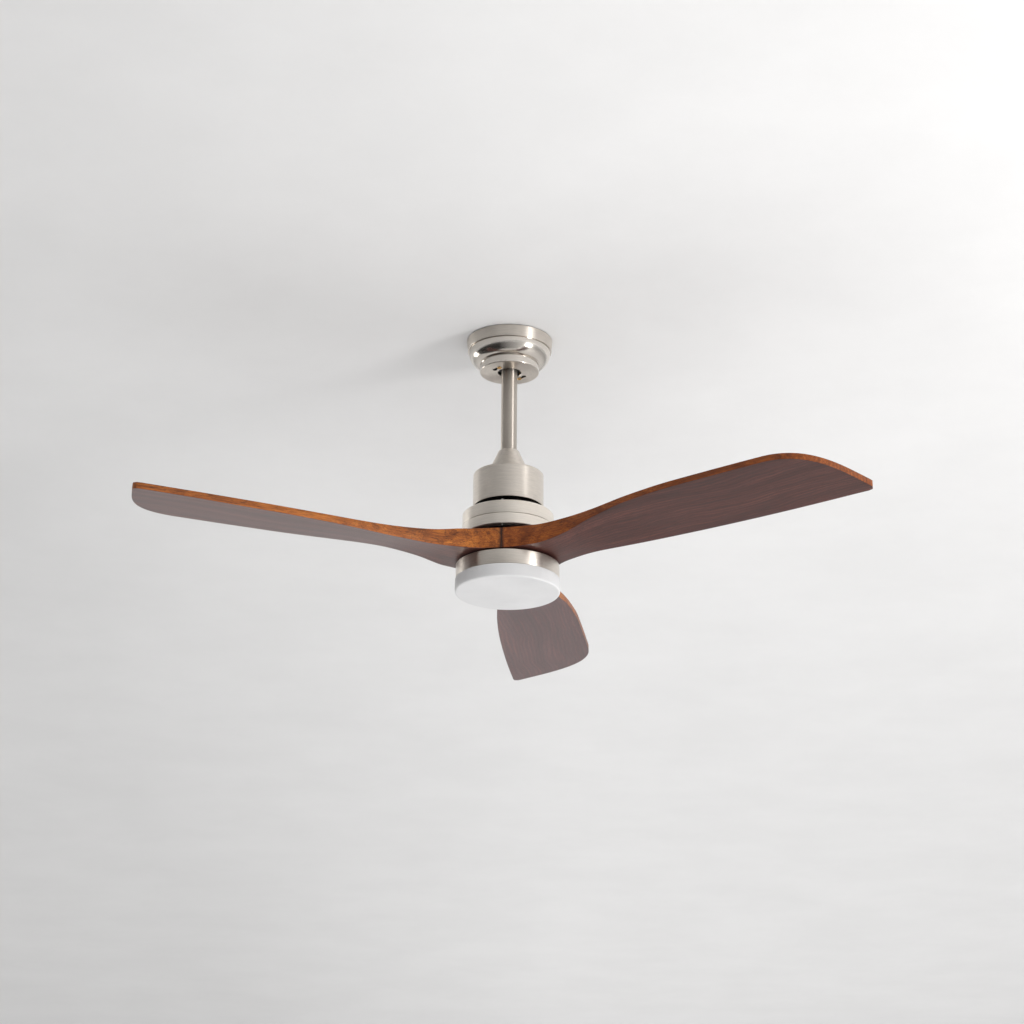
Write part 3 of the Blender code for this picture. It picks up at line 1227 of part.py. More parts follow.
def make_lead(looks, frame):
    """The lead from its plug, down the rod past its cross pins and through the shaft to the driver."""
    aside = ROD_RADIUS - ROD_WALL - LEAD_RADIUS - RUN
    plug_low = ROD_TOP + FIT
    pin_level = BALL_CENTRE + BALL_PIN_RISE
    shaft_top = SOCKET_LOW - YOKE_WEB
    driver_edge = DRIVER_OFFSET - DRIVER_WIDTH / 2 - FIT
    driver_level = LIGHT_PLATE_TOP - DRIVER_HEIGHT / 2
    sag = (SHAFT_LOW + BOARD_TOP) / 2
    route = [
        (0, aside, plug_low - FIT),
        (0, aside, pin_level),
        (0, aside, pin_level - 0.020),
        (aside / 2, aside * 0.8, (pin_level + CLEVIS_LEVEL) / 2),
        (aside, aside / 4, CLEVIS_LEVEL + 0.025),
        (aside, 0, CLEVIS_LEVEL),
        (aside * 0.5, 0, SOCKET_LOW + 0.006),
        (0, 0, shaft_top - 0.012),
        (0, 0, (shaft_top + SHELL_LOW) / 2),
        (0, 0, SHELL_LOW),
        (0, 0, SHAFT_LOW + 0.006),
        (0, 0.0008, SHAFT_LOW),
        (0, 0.0045, sag - 0.0004),
        (0, 0.011, sag),
        (0, 0.022, (sag + driver_level) / 2),
        (0, 0.036, driver_level),
        (0, driver_edge, driver_level),
    ]
    lead = bpy.data.curves.new("lead_cable", "CURVE")
    lead.dimensions = "3D"
    lead.bevel_depth = LEAD_RADIUS
    lead.bevel_resolution = 1
    lead.use_fill_caps = True
    points = smooth_route(route, 2)
    spline = lead.splines.new("POLY")
    spline.points.add(len(points) - 1)
    for place, point in zip(spline.points, points):
        place.co = (*point, 1)
    lead.materials.append(looks["jacket"])
    add("lead_cable", lead, frame)
    low_corner = (-PLUG_HALF_LENGTH, aside - PLUG_HALF_WIDTH, plug_low)
    high_corner = (PLUG_HALF_LENGTH, aside + PLUG_HALF_WIDTH, plug_low + PLUG_HEIGHT)
    add("lead_plug", box("lead_plug", low_corner, high_corner, looks["plastic"]), frame)


def build():
    clear_scene()
    looks = make_looks()
    ceiling = pivot("ceiling_mount", 0)
    seat_pivot = pivot("swing_pivot", BALL_CENTRE, ceiling)
    hanging = pivot("hanging_pivot", BALL_CENTRE, seat_pivot)
    rotor = pivot("rotor_axis", SHELL_SEAM, hanging)
    holder = pivot("diffuser_axis", RING_LOW, hanging)
    make_bracket(looks, ceiling)
    make_canopy(looks, ceiling)
    make_terminal_block(looks, ceiling)
    make_ball_seat(looks, seat_pivot)
    make_ball(looks, hanging)
    make_downrod(looks, hanging)
    make_yoke(looks, hanging)
    make_clevis(looks, hanging)
    make_coupling_cover(looks, hanging)
    make_housing(looks, hanging)
    make_housing_base(looks, hanging)
    make_control_board(looks, hanging)
    make_shaft(looks, hanging)
    make_stator(looks, hanging)
    make_bearings(looks, hanging, rotor)
    make_shell(looks, rotor)
    make_magnets(looks, rotor)
    make_flange(looks, rotor)
    make_blades(looks, rotor)
    make_light_ring(looks, hanging)
    make_light_mount(looks, hanging)
    make_led_board(looks, hanging)
    make_led_driver(looks, hanging)
    make_diffuser(looks, holder)
    make_lead(looks, hanging)


build()
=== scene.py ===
"""The looks of the ceiling fan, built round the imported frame, with its studio.

Metres, +Z up, the origin in the ceiling over the middle of the fan. Turned pieces are drawn as outlines of
(radius, height) points; a blade is drawn in its own plan, x out along the blade and y to its trailing edge.
"""

import json
import math

import bmesh
import bpy
from mathutils import Matrix, Vector

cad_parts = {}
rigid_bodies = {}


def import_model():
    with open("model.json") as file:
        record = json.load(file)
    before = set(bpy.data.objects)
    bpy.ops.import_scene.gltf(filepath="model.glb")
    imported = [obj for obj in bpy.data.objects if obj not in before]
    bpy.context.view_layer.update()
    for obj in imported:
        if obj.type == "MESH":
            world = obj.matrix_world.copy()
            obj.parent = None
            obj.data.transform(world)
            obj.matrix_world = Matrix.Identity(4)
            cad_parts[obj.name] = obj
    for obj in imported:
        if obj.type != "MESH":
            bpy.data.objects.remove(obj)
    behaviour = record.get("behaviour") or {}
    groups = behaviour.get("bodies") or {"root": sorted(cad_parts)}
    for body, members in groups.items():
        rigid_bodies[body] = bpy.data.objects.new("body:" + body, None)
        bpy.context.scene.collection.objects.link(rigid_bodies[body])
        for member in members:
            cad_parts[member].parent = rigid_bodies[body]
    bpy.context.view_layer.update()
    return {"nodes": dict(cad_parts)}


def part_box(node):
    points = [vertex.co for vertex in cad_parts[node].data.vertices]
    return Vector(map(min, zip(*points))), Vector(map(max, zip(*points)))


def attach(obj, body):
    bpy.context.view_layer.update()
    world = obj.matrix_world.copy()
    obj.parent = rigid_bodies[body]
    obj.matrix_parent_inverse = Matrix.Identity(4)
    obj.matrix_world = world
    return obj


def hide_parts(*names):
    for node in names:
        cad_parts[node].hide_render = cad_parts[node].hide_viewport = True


for old in list(bpy.data.objects):
    bpy.data.objects.remove(old, do_unlink=True)

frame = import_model()

# Clearances
FIT = 0.0003

# Canopy
CANOPY_RADIUS = 0.0724
BAND_HEIGHT = 0.0195
BAND_TAPER = 0.0016
BAND_LIP = 0.0013
CANOPY_STEP = 0.0012
DRUM_RADIUS = 0.050
DRUM_HEIGHT = 0.0135
CANOPY_EDGE = 0.0015
CANOPY_WALL = 0.0012
CANOPY_HOLE = 0.0197
HOLE_CHAMFER = 0.0007
KEYHOLE_CIRCLE = 0.0283
KEYHOLE_HALF_WIDTH = 0.0026
KEYHOLE_ENTRY = 0.0039
KEYHOLE_ARC = math.radians(26)
CANOPY_SCREW_ANGLE = math.radians(53)
CANOPY_SCREW_SHANK = 0.002

# Ball and rod
BALL_DEPTH = 0.0345
BALL_RADIUS = 0.023
BALL_HALF_HEIGHT = 0.0155
ROD_RADIUS = 0.01336
ROD_WALL = 0.002
COVER_WALL = 0.0015
COVER_TOP_RADIUS = 0.0170
COVER_BASE_RADIUS = 0.0350
COVER_SHOULDER = 0.0034
YOKE_WALL = 0.0048

# Housing and motor
HOUSING_EDGE = 0.0045
HOUSING_WALL = 0.0015
NECK_RADIUS = 0.046
BASE_RECESS = 0.0012
BASE_BORE = 0.012
SHELL_CHAMFER = 0.0026
LOWER_SHELL_CHAMFER = 0.001
SHELL_WALL = 0.0035
SHELL_PLATE = 0.003
BEARING_SEAT = 0.0153
BOSS_WALL = 0.003
BOSS_DEPTH = 0.008
SHELL_SCREW_HOLE = 0.0018
SHELL_SCREW_SHANK = 0.0015
FLANGE_BORE = 0.020

# Blades
BLADE_COUNT = 3
BLADE_AZIMUTH = math.radians(82.1)
SWEEP_RADIUS = 0.6595
HUB_RADIUS = 0.079
HUB_BORE = 0.024
HUB_THICKNESS = 0.0345
TIP_CORNER = 0.009
TIP_SLANT_START = 0.812
BLADE_EDGE = 0.0022
BLADE_SCREW_CIRCLE = 0.042
BLADE_SCREW_ANGLE = math.radians(28)
BLADE_SCREW_HOLE = 0.0028
BLADE_SCREW_RECESS = 0.0048
BLADE_SCREW_SINK = 0.0034
BLADE_SCREW_HEAD = 0.0025
BLADE_SCREW_SHANK = 0.0025
# share of the free length; reach of the leading and trailing edge from the blade's centre line; lift of the
# lower surface over the hub's bottom at the leading and trailing edge; thickness at the two edges
BLADE_STATIONS = (
    (0.000, None, None, 0.0000, 0.0000, None, None),
    (0.085, 0.0515, 0.0460, 0.0000, 0.0000, 0.0325, 0.0325),
    (0.171, 0.0440, 0.0400, 0.0080, 0.0000, 0.0260, 0.0255),
    (0.278, 0.0530, 0.0470, 0.0190, 0.0000, 0.0140, 0.0185),
    (0.406, 0.0675, 0.0580, 0.0240, 0.0012, 0.0098, 0.0135),
    (0.557, 0.0745, 0.0670, 0.0253, 0.0022, 0.0098, 0.0118),
    (0.706, 0.0750, 0.0723, 0.0256, 0.0028, 0.0100, 0.0114),
    (0.857, 0.0745, 0.0757, 0.0260, 0.0038, 0.0098, 0.0107),
    (1.000, 0.0740, 0.0770, 0.0262, 0.0046, 0.0095, 0.0105),
)

# Planks: each blade's painted light and shade against the others (one blade lit, one in shade, the walnut
# the same), the coat weight that paints how strongly each blade reflects (the oil is the same on all), how
# strongly it is figured, the step in the grain from one to the next, and the width of the painted shade in
# the seams beside the hub
BLADE_LIGHT_AND_SHADE_TINTS = ((0.95, 0.93, 1.06), (1.24, 1.20, 1.10), (0.86, 0.72, 0.66))
BLADE_REFLECTION_COATS = (0.70, 0.66, 0.20)
PLANK_FIGURE = (0.3, 1.0, 0.1)
PLANK_STEP = (1.7, 0.31, 0.17)
SEAM_SHADE_WIDTH = 0.0022

# Light
RING_WALL = 0.0015
RING_BORE = 0.0083
STANDOFF_CIRCLE = 0.032
STANDOFF_HOLE = 0.0023
DIFFUSER_WALL = 0.0028
DIFFUSER_EDGE = 0.003
DIFFUSER_BOW = 0.0008
DIFFUSER_LIP = 0.0056
LUG_REACH = 0.0013
LUG_HEIGHT = 0.0015
LUG_ARC = math.radians(16)
LIP_WALL = 0.0018

# Fineness of turned pieces, and how far a cutter stands past what it cuts
SIDES = 144
SCREW_SIDES = 40
PAST = 0.01

# Studio
FLOOR_LEVEL = -2.7
SHEET_HALF = 16.0
LIT_MIDDLE = (0, 0, -0.33)
FLAG_RADIUS = 6.0
CARD_FOOT = (1.1, -2.68)
CARD_HEAD = (2.5, -0.50)
CARD_BEARINGS = (-115, 35)

# Camera: place, pitch above the horizon, yaw to the right, roll and focal length in millimetres
CAMERA_PLACE = Vector((0, -4.4129, -1.9897))
CAMERA_PITCH = math.radians(20.838)
CAMERA_YAW = math.radians(0.083)
CAMERA_ROLL = math.radians(0.509)
CAMERA_LENS = 99.91
SENSOR = 36.0


def span(node):
    """The radius, lowest and highest level of a CAD node that is turned about the fan's axis."""
    low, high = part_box(node)
    return (high[0] - low[0]) / 2, low[2], high[2]


# Shapes ----------


def piece_of(name, bm, looks, sharp=28):
    """Closes a bmesh into a shown object with its materials, smooth up to its sharp edges."""
    bmesh.ops.remove_doubles(bm, verts=bm.verts, dist=1e-7)
    bmesh.ops.recalc_face_normals(bm, faces=bm.faces)
    mesh = bpy.data.meshes.new(name)
    bm.to_mesh(mesh)
    bm.free()
    for look in looks:
        mesh.materials.append(look)
    mesh.shade_smooth()
    mesh.set_sharp_from_angle(angle=math.radians(sharp))
    return linked(name, mesh)


def rounded(corners, steps=5):
    """An outline from (radius, height) or (radius, height, rounding) corners, arcs at the rounded ones."""
    points = []
    count = len(corners)
    for index, corner in enumerate(corners):
        here = Vector(corner[:2])
        size = corner[2] if len(corner) > 2 else 0
        if not size:
            points.append(tuple(here))
            continue
        back = Vector(corners[index - 1][:2]) - here
        ahead = Vector(corners[(index + 1) % count][:2]) - here
        half = back.angle(ahead) / 2
        reach = min(size / math.tan(half), back.length * 0.49, ahead.length * 0.49)
        start, end = here + back.normalized() * reach, here + ahead.normalized() * reach
        for step in range(steps + 1):
            t = step / steps
            weight = 2 * t * (1 - t) * math.sin(half)
            near, far = (1 - t) ** 2, t**2
            point = (start * near + here * weight + end * far) / (near + weight + far)
            points.append(tuple(point))
    return points


def turned_bmesh(outline, sides):
    bm = bmesh.new()
    corners = [bm.verts.new((radius, 0, height)) for radius, height in outline]
    for first, second in zip(corners, corners[1:] + corners[:1]):
        if first.co.x > 0 or second.co.x > 0:
            bm.edges.new((first, second))
    bmesh.ops.spin(
        bm,
        geom=bm.verts[:] + bm.edges[:],
        cent=(0, 0, 0),
        axis=(0, 0, 1),
        angle=math.tau,
        steps=sides,
        use_merge=True,
    )
    return bm


def turned(name, outline, *looks, sides=SIDES, sharp=28):
    return piece_of(name, turned_bmesh(outline, sides), looks, sharp)


def rod_outline(radius, low, high):
    return [(0, high), (radius, high), (radius, low), (0, low)]


def slab(outline, low, high):
    """A bmesh of a plan outline between two levels."""
    bm = bmesh.new()
    loops = [[bm.verts.new((x, y, z)) for x, y in outline] for z in (low, high)]
    for index in range(len(outline)):
        bm.faces.new((loops[0][index - 1], loops[0][index], loops[1][index], loops[1][index - 1]))
    bm.faces.new(loops[0])
    bm.faces.new(loops[1])
    return bm


def ring_block(inner, outer, low, high, middle, spread, steps=6):
    """A bmesh of a block that follows a stretch of a ring."""
    angles = [middle + spread * (step / steps - 0.5) for step in range(steps + 1)]
    outline = [polar(outer, angle) for angle in angles]
    outline += [polar(inner, angle) for angle in reversed(angles)]
    return slab(outline, low, high)


def linked(name, data):
    """A new object in the scene, of a mesh, lamp or camera."""
    made = bpy.data.objects.new(name, data)
    bpy.context.scene.collection.objects.link(made)
    return made


def polar(radius, angle):
    return radius * math.cos(angle), radius * math.sin(angle)


def placed(bm, place):
    bmesh.ops.transform(bm, matrix=place, verts=bm.verts)
    return bm


def reshaped(piece, operation, tools, sharp=28):
    """Cuts or joins bmesh shapes into a piece for good, and smooths it again."""
    helpers = []
    for tool in tools:
        helper = piece_of("tool", tool, ())
        helpers.append(helper)
        boolean = piece.modifiers.new("tool", "BOOLEAN")
        boolean.operation = operation
        boolean.solver = "EXACT"
        boolean.object = helper
    graph = bpy.context.evaluated_depsgraph_get()
    made = bpy.data.meshes.new_from_object(piece.evaluated_get(graph))
    piece.modifiers.clear()
    piece.data = made
    for helper in helpers:
        bpy.data.objects.remove(helper, do_unlink=True)
    made.shade_smooth()
    made.set_sharp_from_angle(angle=math.radians(sharp))
    return piece


def round_hole(radius, low, high, x, y):
    """A cutter for an upright round hole."""
    bit = turned_bmesh(rod_outline(radius, low - PAST, high + PAST), SCREW_SIDES)
    return placed(bit, Matrix.Translation((x, y, 0)))


def stands_for(piece, body, node):
    """Says what a piece rides on, and hides the CAD node that it replaces."""
    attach(piece, body)
    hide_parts(node)


def around(count, circle, first=0.0):
    angles = [first + math.tau * index / count for index in range(count)]
    return [(angle, *polar(circle, angle)) for angle in angles]


# Materials ----------


class Look:
    """A material and short calls that wire its nodes."""

    def __init__(self, name):
        self.material = bpy.data.materials.new(name)
        self.material.use_nodes = True
        self.tree = self.material.node_tree
        self.shader = self.tree.nodes["Principled BSDF"]

    def feed(self, socket, value):
        """Links a socket from another, or sets its value. Colours are given without their alpha."""
        if isinstance(value, bpy.types.NodeSocket):
            self.tree.links.new(value, socket)
        elif socket.type == "RGBA":
            socket.default_value = (*value, 1)
        else:
            socket.default_value = value

    def node(self, kind, inputs=None, **settings):
        """A node with its settings; each input is a value, or a socket to link from."""
        made = self.tree.nodes.new(f"ShaderNode{kind}")
        for key, value in settings.items():
            setattr(made, key, value)
        for key, value in (inputs or {}).items():
            self.feed(made.inputs[key], value)
        return made

    def math(self, operation, *values):
        return self.node("Math", dict(enumerate(values)), operation=operation).outputs[0]

    def place(self):
        return self.node("TexCoord").outputs["Object"]

    def mark(self, name):
        """What an attribute of the mesh says at each point."""
        return self.node("Attribute", attribute_name=name, attribute_type="GEOMETRY").outputs

    def split(self, vector):
        return self.node("SeparateXYZ", {"Vector": vector}).outputs

    def joined(self, x, y, z):
        return self.node("CombineXYZ", {"X": x, "Y": y, "Z": z}).outputs[0]

    def grey(self, shade):
        return self.joined(shade, shade, shade)

    def ramp(self, tone, *stops):
        """A colour from a tone, by stops of (tone, colour)."""
        made = self.node("ValToRGB", {"Fac": tone})
        elements = made.color_ramp.elements
        for element, (position, colour) in zip(elements, (stops[0], stops[-1])):
            element.position, element.color = position, (*colour, 1)
        for position, colour in stops[1:-1]:
            elements.new(position).color = (*colour, 1)
        return made.outputs[0]

    def stretched(self, scale, place=None):
        """Object coordinates scaled along each axis."""
        inputs = {"Vector": place or self.place(), "Scale": scale}
        return self.node("Mapping", inputs, vector_type="POINT").outputs[0]

    def noise(self, place, scale=1.0, detail=3.0, roughness=0.5, distortion=0.0):
        inputs = {"Vector": place, "Scale": scale, "Detail": detail}
        inputs |= {"Roughness": roughness, "Distortion": distortion}
        return self.node("TexNoise", inputs).outputs["Fac"]

    def remap(self, value, low, high, start, end):
        inputs = {"Value": value, "From Min": low, "From Max": high, "To Min": start, "To Max": end}
        return self.node("MapRange", inputs).outputs["Result"]

    def blend(self, share, first, second, mode="MIX"):
        """A colour between two, each a colour or a socket."""
        inputs = {0: share, 6: first, 7: second}
        return self.node("Mix", inputs, data_type="RGBA", blend_type=mode).outputs[2]

    def bump(self, height, strength, distance):
        inputs = {"Height": height, "Strength": strength, "Distance": distance}
        return self.node("Bump", inputs).outputs["Normal"]

    def finish(self, **inputs):
        """Sets or links the shader's inputs, named with underscores for spaces."""
        for key, value in inputs.items():
            self.feed(self.shader.inputs[key.replace("_", " ")], value)
        return self.material


# Lines left by the brush: how fine they are; scale, detail and roughness of their noise; share of the whole
BRUSH_LINES = (
    (420.0, 2.2, 4.0, 0.75, 0.35),
    (1900.0, 3.0, 3.0, 0.7, 0.30),
    (150.0, 3.4, 3.0, 0.7, 0.35),
)


def brushed(name, colour, roughness, streak, anisotropy):
    """Metal brushed round the fan's axis: fine rings on a disc, level lines on a wall."""
    look = Look(name)
    split = look.split(look.place())
    squares = [look.math("MULTIPLY", split[axis], split[axis]) for axis in (0, 1)]
    radius = look.math("SQRT", look.math("ADD", *squares))
    east, north = (look.math("DIVIDE", split[axis], look.math("ADD", radius, 1e-5)) for axis in (0, 1))
    across = look.math("ADD", split[2], radius)
    parts = []
    for fineness, scale, detail, rough, share in BRUSH_LINES:
        round_axis = look.joined(east, north, look.math("MULTIPLY", across, fineness))
        lines = look.noise(round_axis, scale, detail, rough)
        parts.append(look.math("MULTIPLY", lines, share))
    both = look.math("ADD", look.math("ADD", *parts[:2]), parts[2])
    clouds = look.noise(look.place(), 34.0, 3.0, 0.6)
    smudge = look.math("MULTIPLY", look.remap(clouds, 0.35, 0.7, -0.5, 0.5), 0.05)
    shade = look.remap(both, 0.3, 0.7, 1 - streak, 1 + streak / 2)
    tinted = look.blend(1.0, colour, look.grey(shade), "MULTIPLY")
    rough = look.math("ADD", look.remap(both, 0.3, 0.7, roughness * 0.82, roughness * 1.18), smudge)
    tangent = look.node("Tangent", direction_type="RADIAL", axis="Z").outputs[0]
    return look.finish(
        Base_Color=tinted,
        Metallic=1.0,
        Roughness=rough,
        Anisotropic=anisotropy,
        Anisotropic_Rotation=0.25,
        Tangent=tangent,
        Normal=look.bump(both, 0.12 + streak, 0.00006),
    )


def cast(name, colour, roughness, metallic=0.0, grain=260.0, depth=0.00008, strength=0.25, shine=0.5):
    """Plain moulded, plated or painted stuff: a fine grain with cloudy changes of shade and roughness."""
    look = Look(name)
    fine = look.noise(look.place(), grain, 4.0, 0.6)
    clouds = look.noise(look.place(), 55.0, 3.0, 0.55)
    darker = tuple(channel * 0.76 for channel in colour)
    lighter = tuple(min(channel * 1.12, 1.0) for channel in colour)
    shade = look.blend(look.remap(clouds, 0.3, 0.7, 0.0, 1.0), darker, lighter)
    rough = look.remap(fine, 0.3, 0.7, roughness * 0.85, min(roughness * 1.15, 1.0))
    return look.finish(
        Base_Color=shade,
        Metallic=metallic,
        Roughness=rough,
        Specular_IOR_Level=shine,
        Normal=look.bump(fine, strength, depth),
    )


def galvanised(name):
    look = Look(name)
    cells = look.node("TexVoronoi", {"Vector": look.place(), "Scale": 190.0}, feature="F1").outputs
    tone = look.split(cells["Color"])[0]
    shade = look.blend(tone, (0.40, 0.42, 0.45), (0.62, 0.63, 0.65))
    scratches = look.noise(look.stretched((900, 60, 60)), 1.0, 3.0, 0.6)
    worn = look.remap(scratches, 0.3, 0.7, -0.05, 0.05)
    rough = look.math("ADD", look.remap(tone, 0, 1, 0.30, 0.46), worn)
    return look.finish(
        Base_Color=shade,
        Metallic=1.0,
        Roughness=rough,
        Normal=look.bump(scratches, 0.15, 0.00005),
    )


def wound(name):
    """Enamelled copper wire laid in even turns."""
    look = Look(name)
    wires = look.node(
        "TexWave",
        {"Vector": look.place(), "Scale": 520.0, "Distortion": 0.6, "Detail": 1.0},
        bands_direction="DIAGONAL",
    ).outputs["Fac"]
    shade = look.blend(wires, (0.20, 0.055, 0.02), (0.72, 0.30, 0.13))
    return look.finish(
        Base_Color=shade,
        Metallic=1.0,
        Roughness=look.remap(wires, 0, 1, 0.5, 0.28),
        Normal=look.bump(wires, 0.6, 0.0002),
    )


def laminated(name):
    look = Look(name)
    sheets = look.node(
        "TexWave",
        {"Vector": look.place(), "Scale": 620.0, "Distortion": 0.2},
        bands_direction="Z",
    ).outputs["Fac"]
    rust = look.noise(look.place(), 90.0, 4.0, 0.6)
    shade = look.blend(look.remap(rust, 0.45, 0.7, 0, 0.5), (0.30, 0.30, 0.32), (0.24, 0.17, 0.12))
    return look.finish(
        Base_Color=shade,
        Metallic=1.0,
        Roughness=look.remap(sheets, 0, 1, 0.55, 0.38),
        Normal=look.bump(sheets, 0.5, 0.0001),
    )


def circuit(name, mask, copper):
    """Solder mask over branching tracks."""
    look = Look(name)
    cells = look.node(
        "TexVoronoi",
        {"Vector": look.place(), "Scale": 170.0},
        feature="DISTANCE_TO_EDGE",
        distance="EUCLIDEAN",
    ).outputs[0]
    tracks = look.remap(cells, 0.05, 0.09, 1.0, 0.0)
    return look.finish(
        Base_Color=look.blend(tracks, mask, copper),
        Roughness=look.remap(tracks, 0, 1, 0.42, 0.3),
        Specular_IOR_Level=0.6,
        Normal=look.bump(tracks, 0.4, 0.00008),
    )


def walnut(name):
    """Oiled walnut with its grain along each blade. Edges and end faces show a warmer, redder cut."""
    look = Look(name)
    grain = look.mark("grain")["Vector"]
    along, over, through = look.split(grain)
    sway = look.noise(look.stretched((5.0, 9.0, 9.0), grain), 1.0, 2.0, 0.5)
    bent = look.math("ADD", over, look.math("MULTIPLY", sway, 0.050))
    drift = look.joined(along, bent, through)
    swirl = {"Scale": 1.0, "Distortion": 3.6, "Detail": 3.0, "Detail Scale": 1.4, "Detail Roughness": 0.6}
    swirl["Vector"] = look.stretched((2.2, 46.0, 15.0), drift)
    rings = look.node("TexWave", swirl, bands_direction="Y").outputs["Fac"]
    fibres = look.noise(look.stretched((9.0, 420.0, 420.0), drift), 1.0, 6.0, 0.72)
    bands = look.noise(look.stretched((2.6, 48.0, 48.0), drift), 1.0, 4.0, 0.6)
    pores = look.noise(look.stretched((60.0, 1300.0, 1300.0), drift), 1.0, 2.0, 0.5)
    pore_mask = look.remap(pores, 0.57, 0.66, 0.0, 0.75)
    tone = look.math("ADD", look.math("MULTIPLY", rings, 0.12), look.math("MULTIPLY", bands, 0.88))
    tone = look.math("ADD", tone, look.remap(fibres, 0.3, 0.7, -0.24, 0.24))
    dark, middle, light = (0.032, 0.012, 0.011), (0.086, 0.032, 0.028), (0.185, 0.076, 0.060)
    face = look.ramp(tone, (0.14, dark), (0.52, middle), (0.88, light))
    dark, middle, light = (0.080, 0.019, 0.003), (0.265, 0.076, 0.012), (0.480, 0.165, 0.028)
    cut = look.ramp(tone, (0.16, dark), (0.5, middle), (0.84, light))

    curl = look.noise(look.stretched((34.0, 12.0, 26.0), grain), 1.0, 2.0, 0.5, 1.4)
    from_vein = look.math("ABSOLUTE", look.math("SUBTRACT", curl, 0.5))
    veins = look.remap(from_vein, 0.002, 0.026, 0.50, 0.0)
    from_hub = look.math("FRACT", look.math("DIVIDE", along, PLANK_STEP[0]))
    near_hub = look.remap(from_hub, 0.09, 0.15, 1.0, 0.0)
    veins = look.math("MULTIPLY", look.math("MULTIPLY", veins, look.mark("figure")["Fac"]), near_hub)
    upright = look.split(look.node("TexCoord").outputs["Normal"])[2]
    side = look.remap(look.math("ABSOLUTE", upright), 0.35, 0.93, 1.0, 0.0)
    shade = look.blend(side, face, look.blend(veins, cut, (0.055, 0.017, 0.004)))
    # painted light and shade: each blade's colour is multiplied by its own tint, lighter on the lit blade,
    # darker and redder on the shaded one
    blade_light = look.mark("blade_light")
    shade = look.blend(1.0, shade, blade_light["Color"], "MULTIPLY")
    # painted shade in the narrow seams where the blades meet at the hub, near black (0.012, 0.004, 0.003)
    seam_shade = look.math("MULTIPLY", look.mark("seam_shade")["Fac"], 0.92)
    shade = look.blend(seam_shade, shade, (0.012, 0.004, 0.003))
    shade = look.blend(pore_mask, shade, (0.020, 0.009, 0.006))
    relief = look.math("SUBTRACT", fibres, look.math("MULTIPLY", pore_mask, 0.6))
    return look.finish(
        Base_Color=shade,
        Roughness=look.remap(fibres, 0.3, 0.7, 0.42, 0.58),
        Specular_IOR_Level=0.3,
        # the coat weight differs per blade only to paint how strongly each blade reflects; the oil is the
        # same on all
        Coat_Weight=look.math("MULTIPLY", blade_light["Alpha"], look.remap(side, 0, 1, 1.0, 0.22)),
        Coat_Roughness=0.30,
        Normal=look.bump(relief, 0.35, 0.00018),
    )


def frosted(name):
    """Frosted acrylic: a faint sandblasted grain on a milky, light-spreading body."""
    look = Look(name)
    grain = look.noise(look.place(), 1500.0, 3.0, 0.6)
    clouds = look.noise(look.place(), 16.0, 3.0, 0.5)
    shade = look.blend(look.remap(clouds, 0.3, 0.7, 0, 1), (0.66, 0.66, 0.665), (0.71, 0.71, 0.715))
    look.shader.inputs["Subsurface Radius"].default_value = (1, 1, 1)
    return look.finish(
        Base_Color=shade,
        Roughness=look.remap(grain, 0.3, 0.7, 0.42, 0.58),
        Specular_IOR_Level=0.2,
        Subsurface_Weight=0.55,
        Subsurface_Scale=0.006,
        Normal=look.bump(grain, 0.12, 0.00004),
    )


def make_looks():
    nickel = (0.72, 0.665, 0.60)
    return {
        "satin": brushed("nickel_satin", nickel, 0.36, 0.22, 0.86),
        "polished": brushed("nickel_polished", (0.70, 0.655, 0.60), 0.20, 0.03, 0.35),
        "rod": brushed("nickel_rod", (0.57, 0.52, 0.465), 0.40, 0.12, 0.95),
        "shell": brushed("nickel_shell_satin", (0.88, 0.82, 0.74), 0.39, 0.15, 0.84),
        "steel": galvanised("zinc_plate"),
        "screw": cast("plated_screw", (0.58, 0.57, 0.55), 0.30, 1.0, 420.0),
        "brass": cast("brass_plate", (0.78, 0.50, 0.22), 0.30, 1.0, 420.0),
        "black": cast("black_paint", (0.004, 0.004, 0.0042), 0.6, 0.0, 900.0, 0.00006, 0.3, 0.12),
        "walnut": walnut("oiled_walnut"),
        "frosted": frosted("frosted_acrylic"),
        "nylon": cast("black_nylon", (0.022, 0.022, 0.024), 0.42, 0.0, 500.0),
        "rubber": cast("grey_rubber", (0.09, 0.09, 0.095), 0.78, 0.0, 700.0, 0.0001, 0.4),
        "copper": wound("copper_wire"),
        "lamination": laminated("stator_sheets"),
        "magnet": cast("ferrite", (0.045, 0.045, 0.05), 0.55, 0.0, 800.0, 0.00008, 0.4),
        "board": circuit("green_solder_mask", (0.010, 0.10, 0.045), (0.03, 0.22, 0.10)),
        "white_board": circuit("white_solder_mask", (0.78, 0.78, 0.76), (0.66, 0.66, 0.64)),
        "plastic": cast("white_plastic", (0.72, 0.72, 0.70), 0.42, 0.0, 600.0),
        "jacket": cast("cable_jacket", (0.018, 0.018, 0.019), 0.5, 0.0, 700.0),
    }


# Canopy, ball and rod ----------


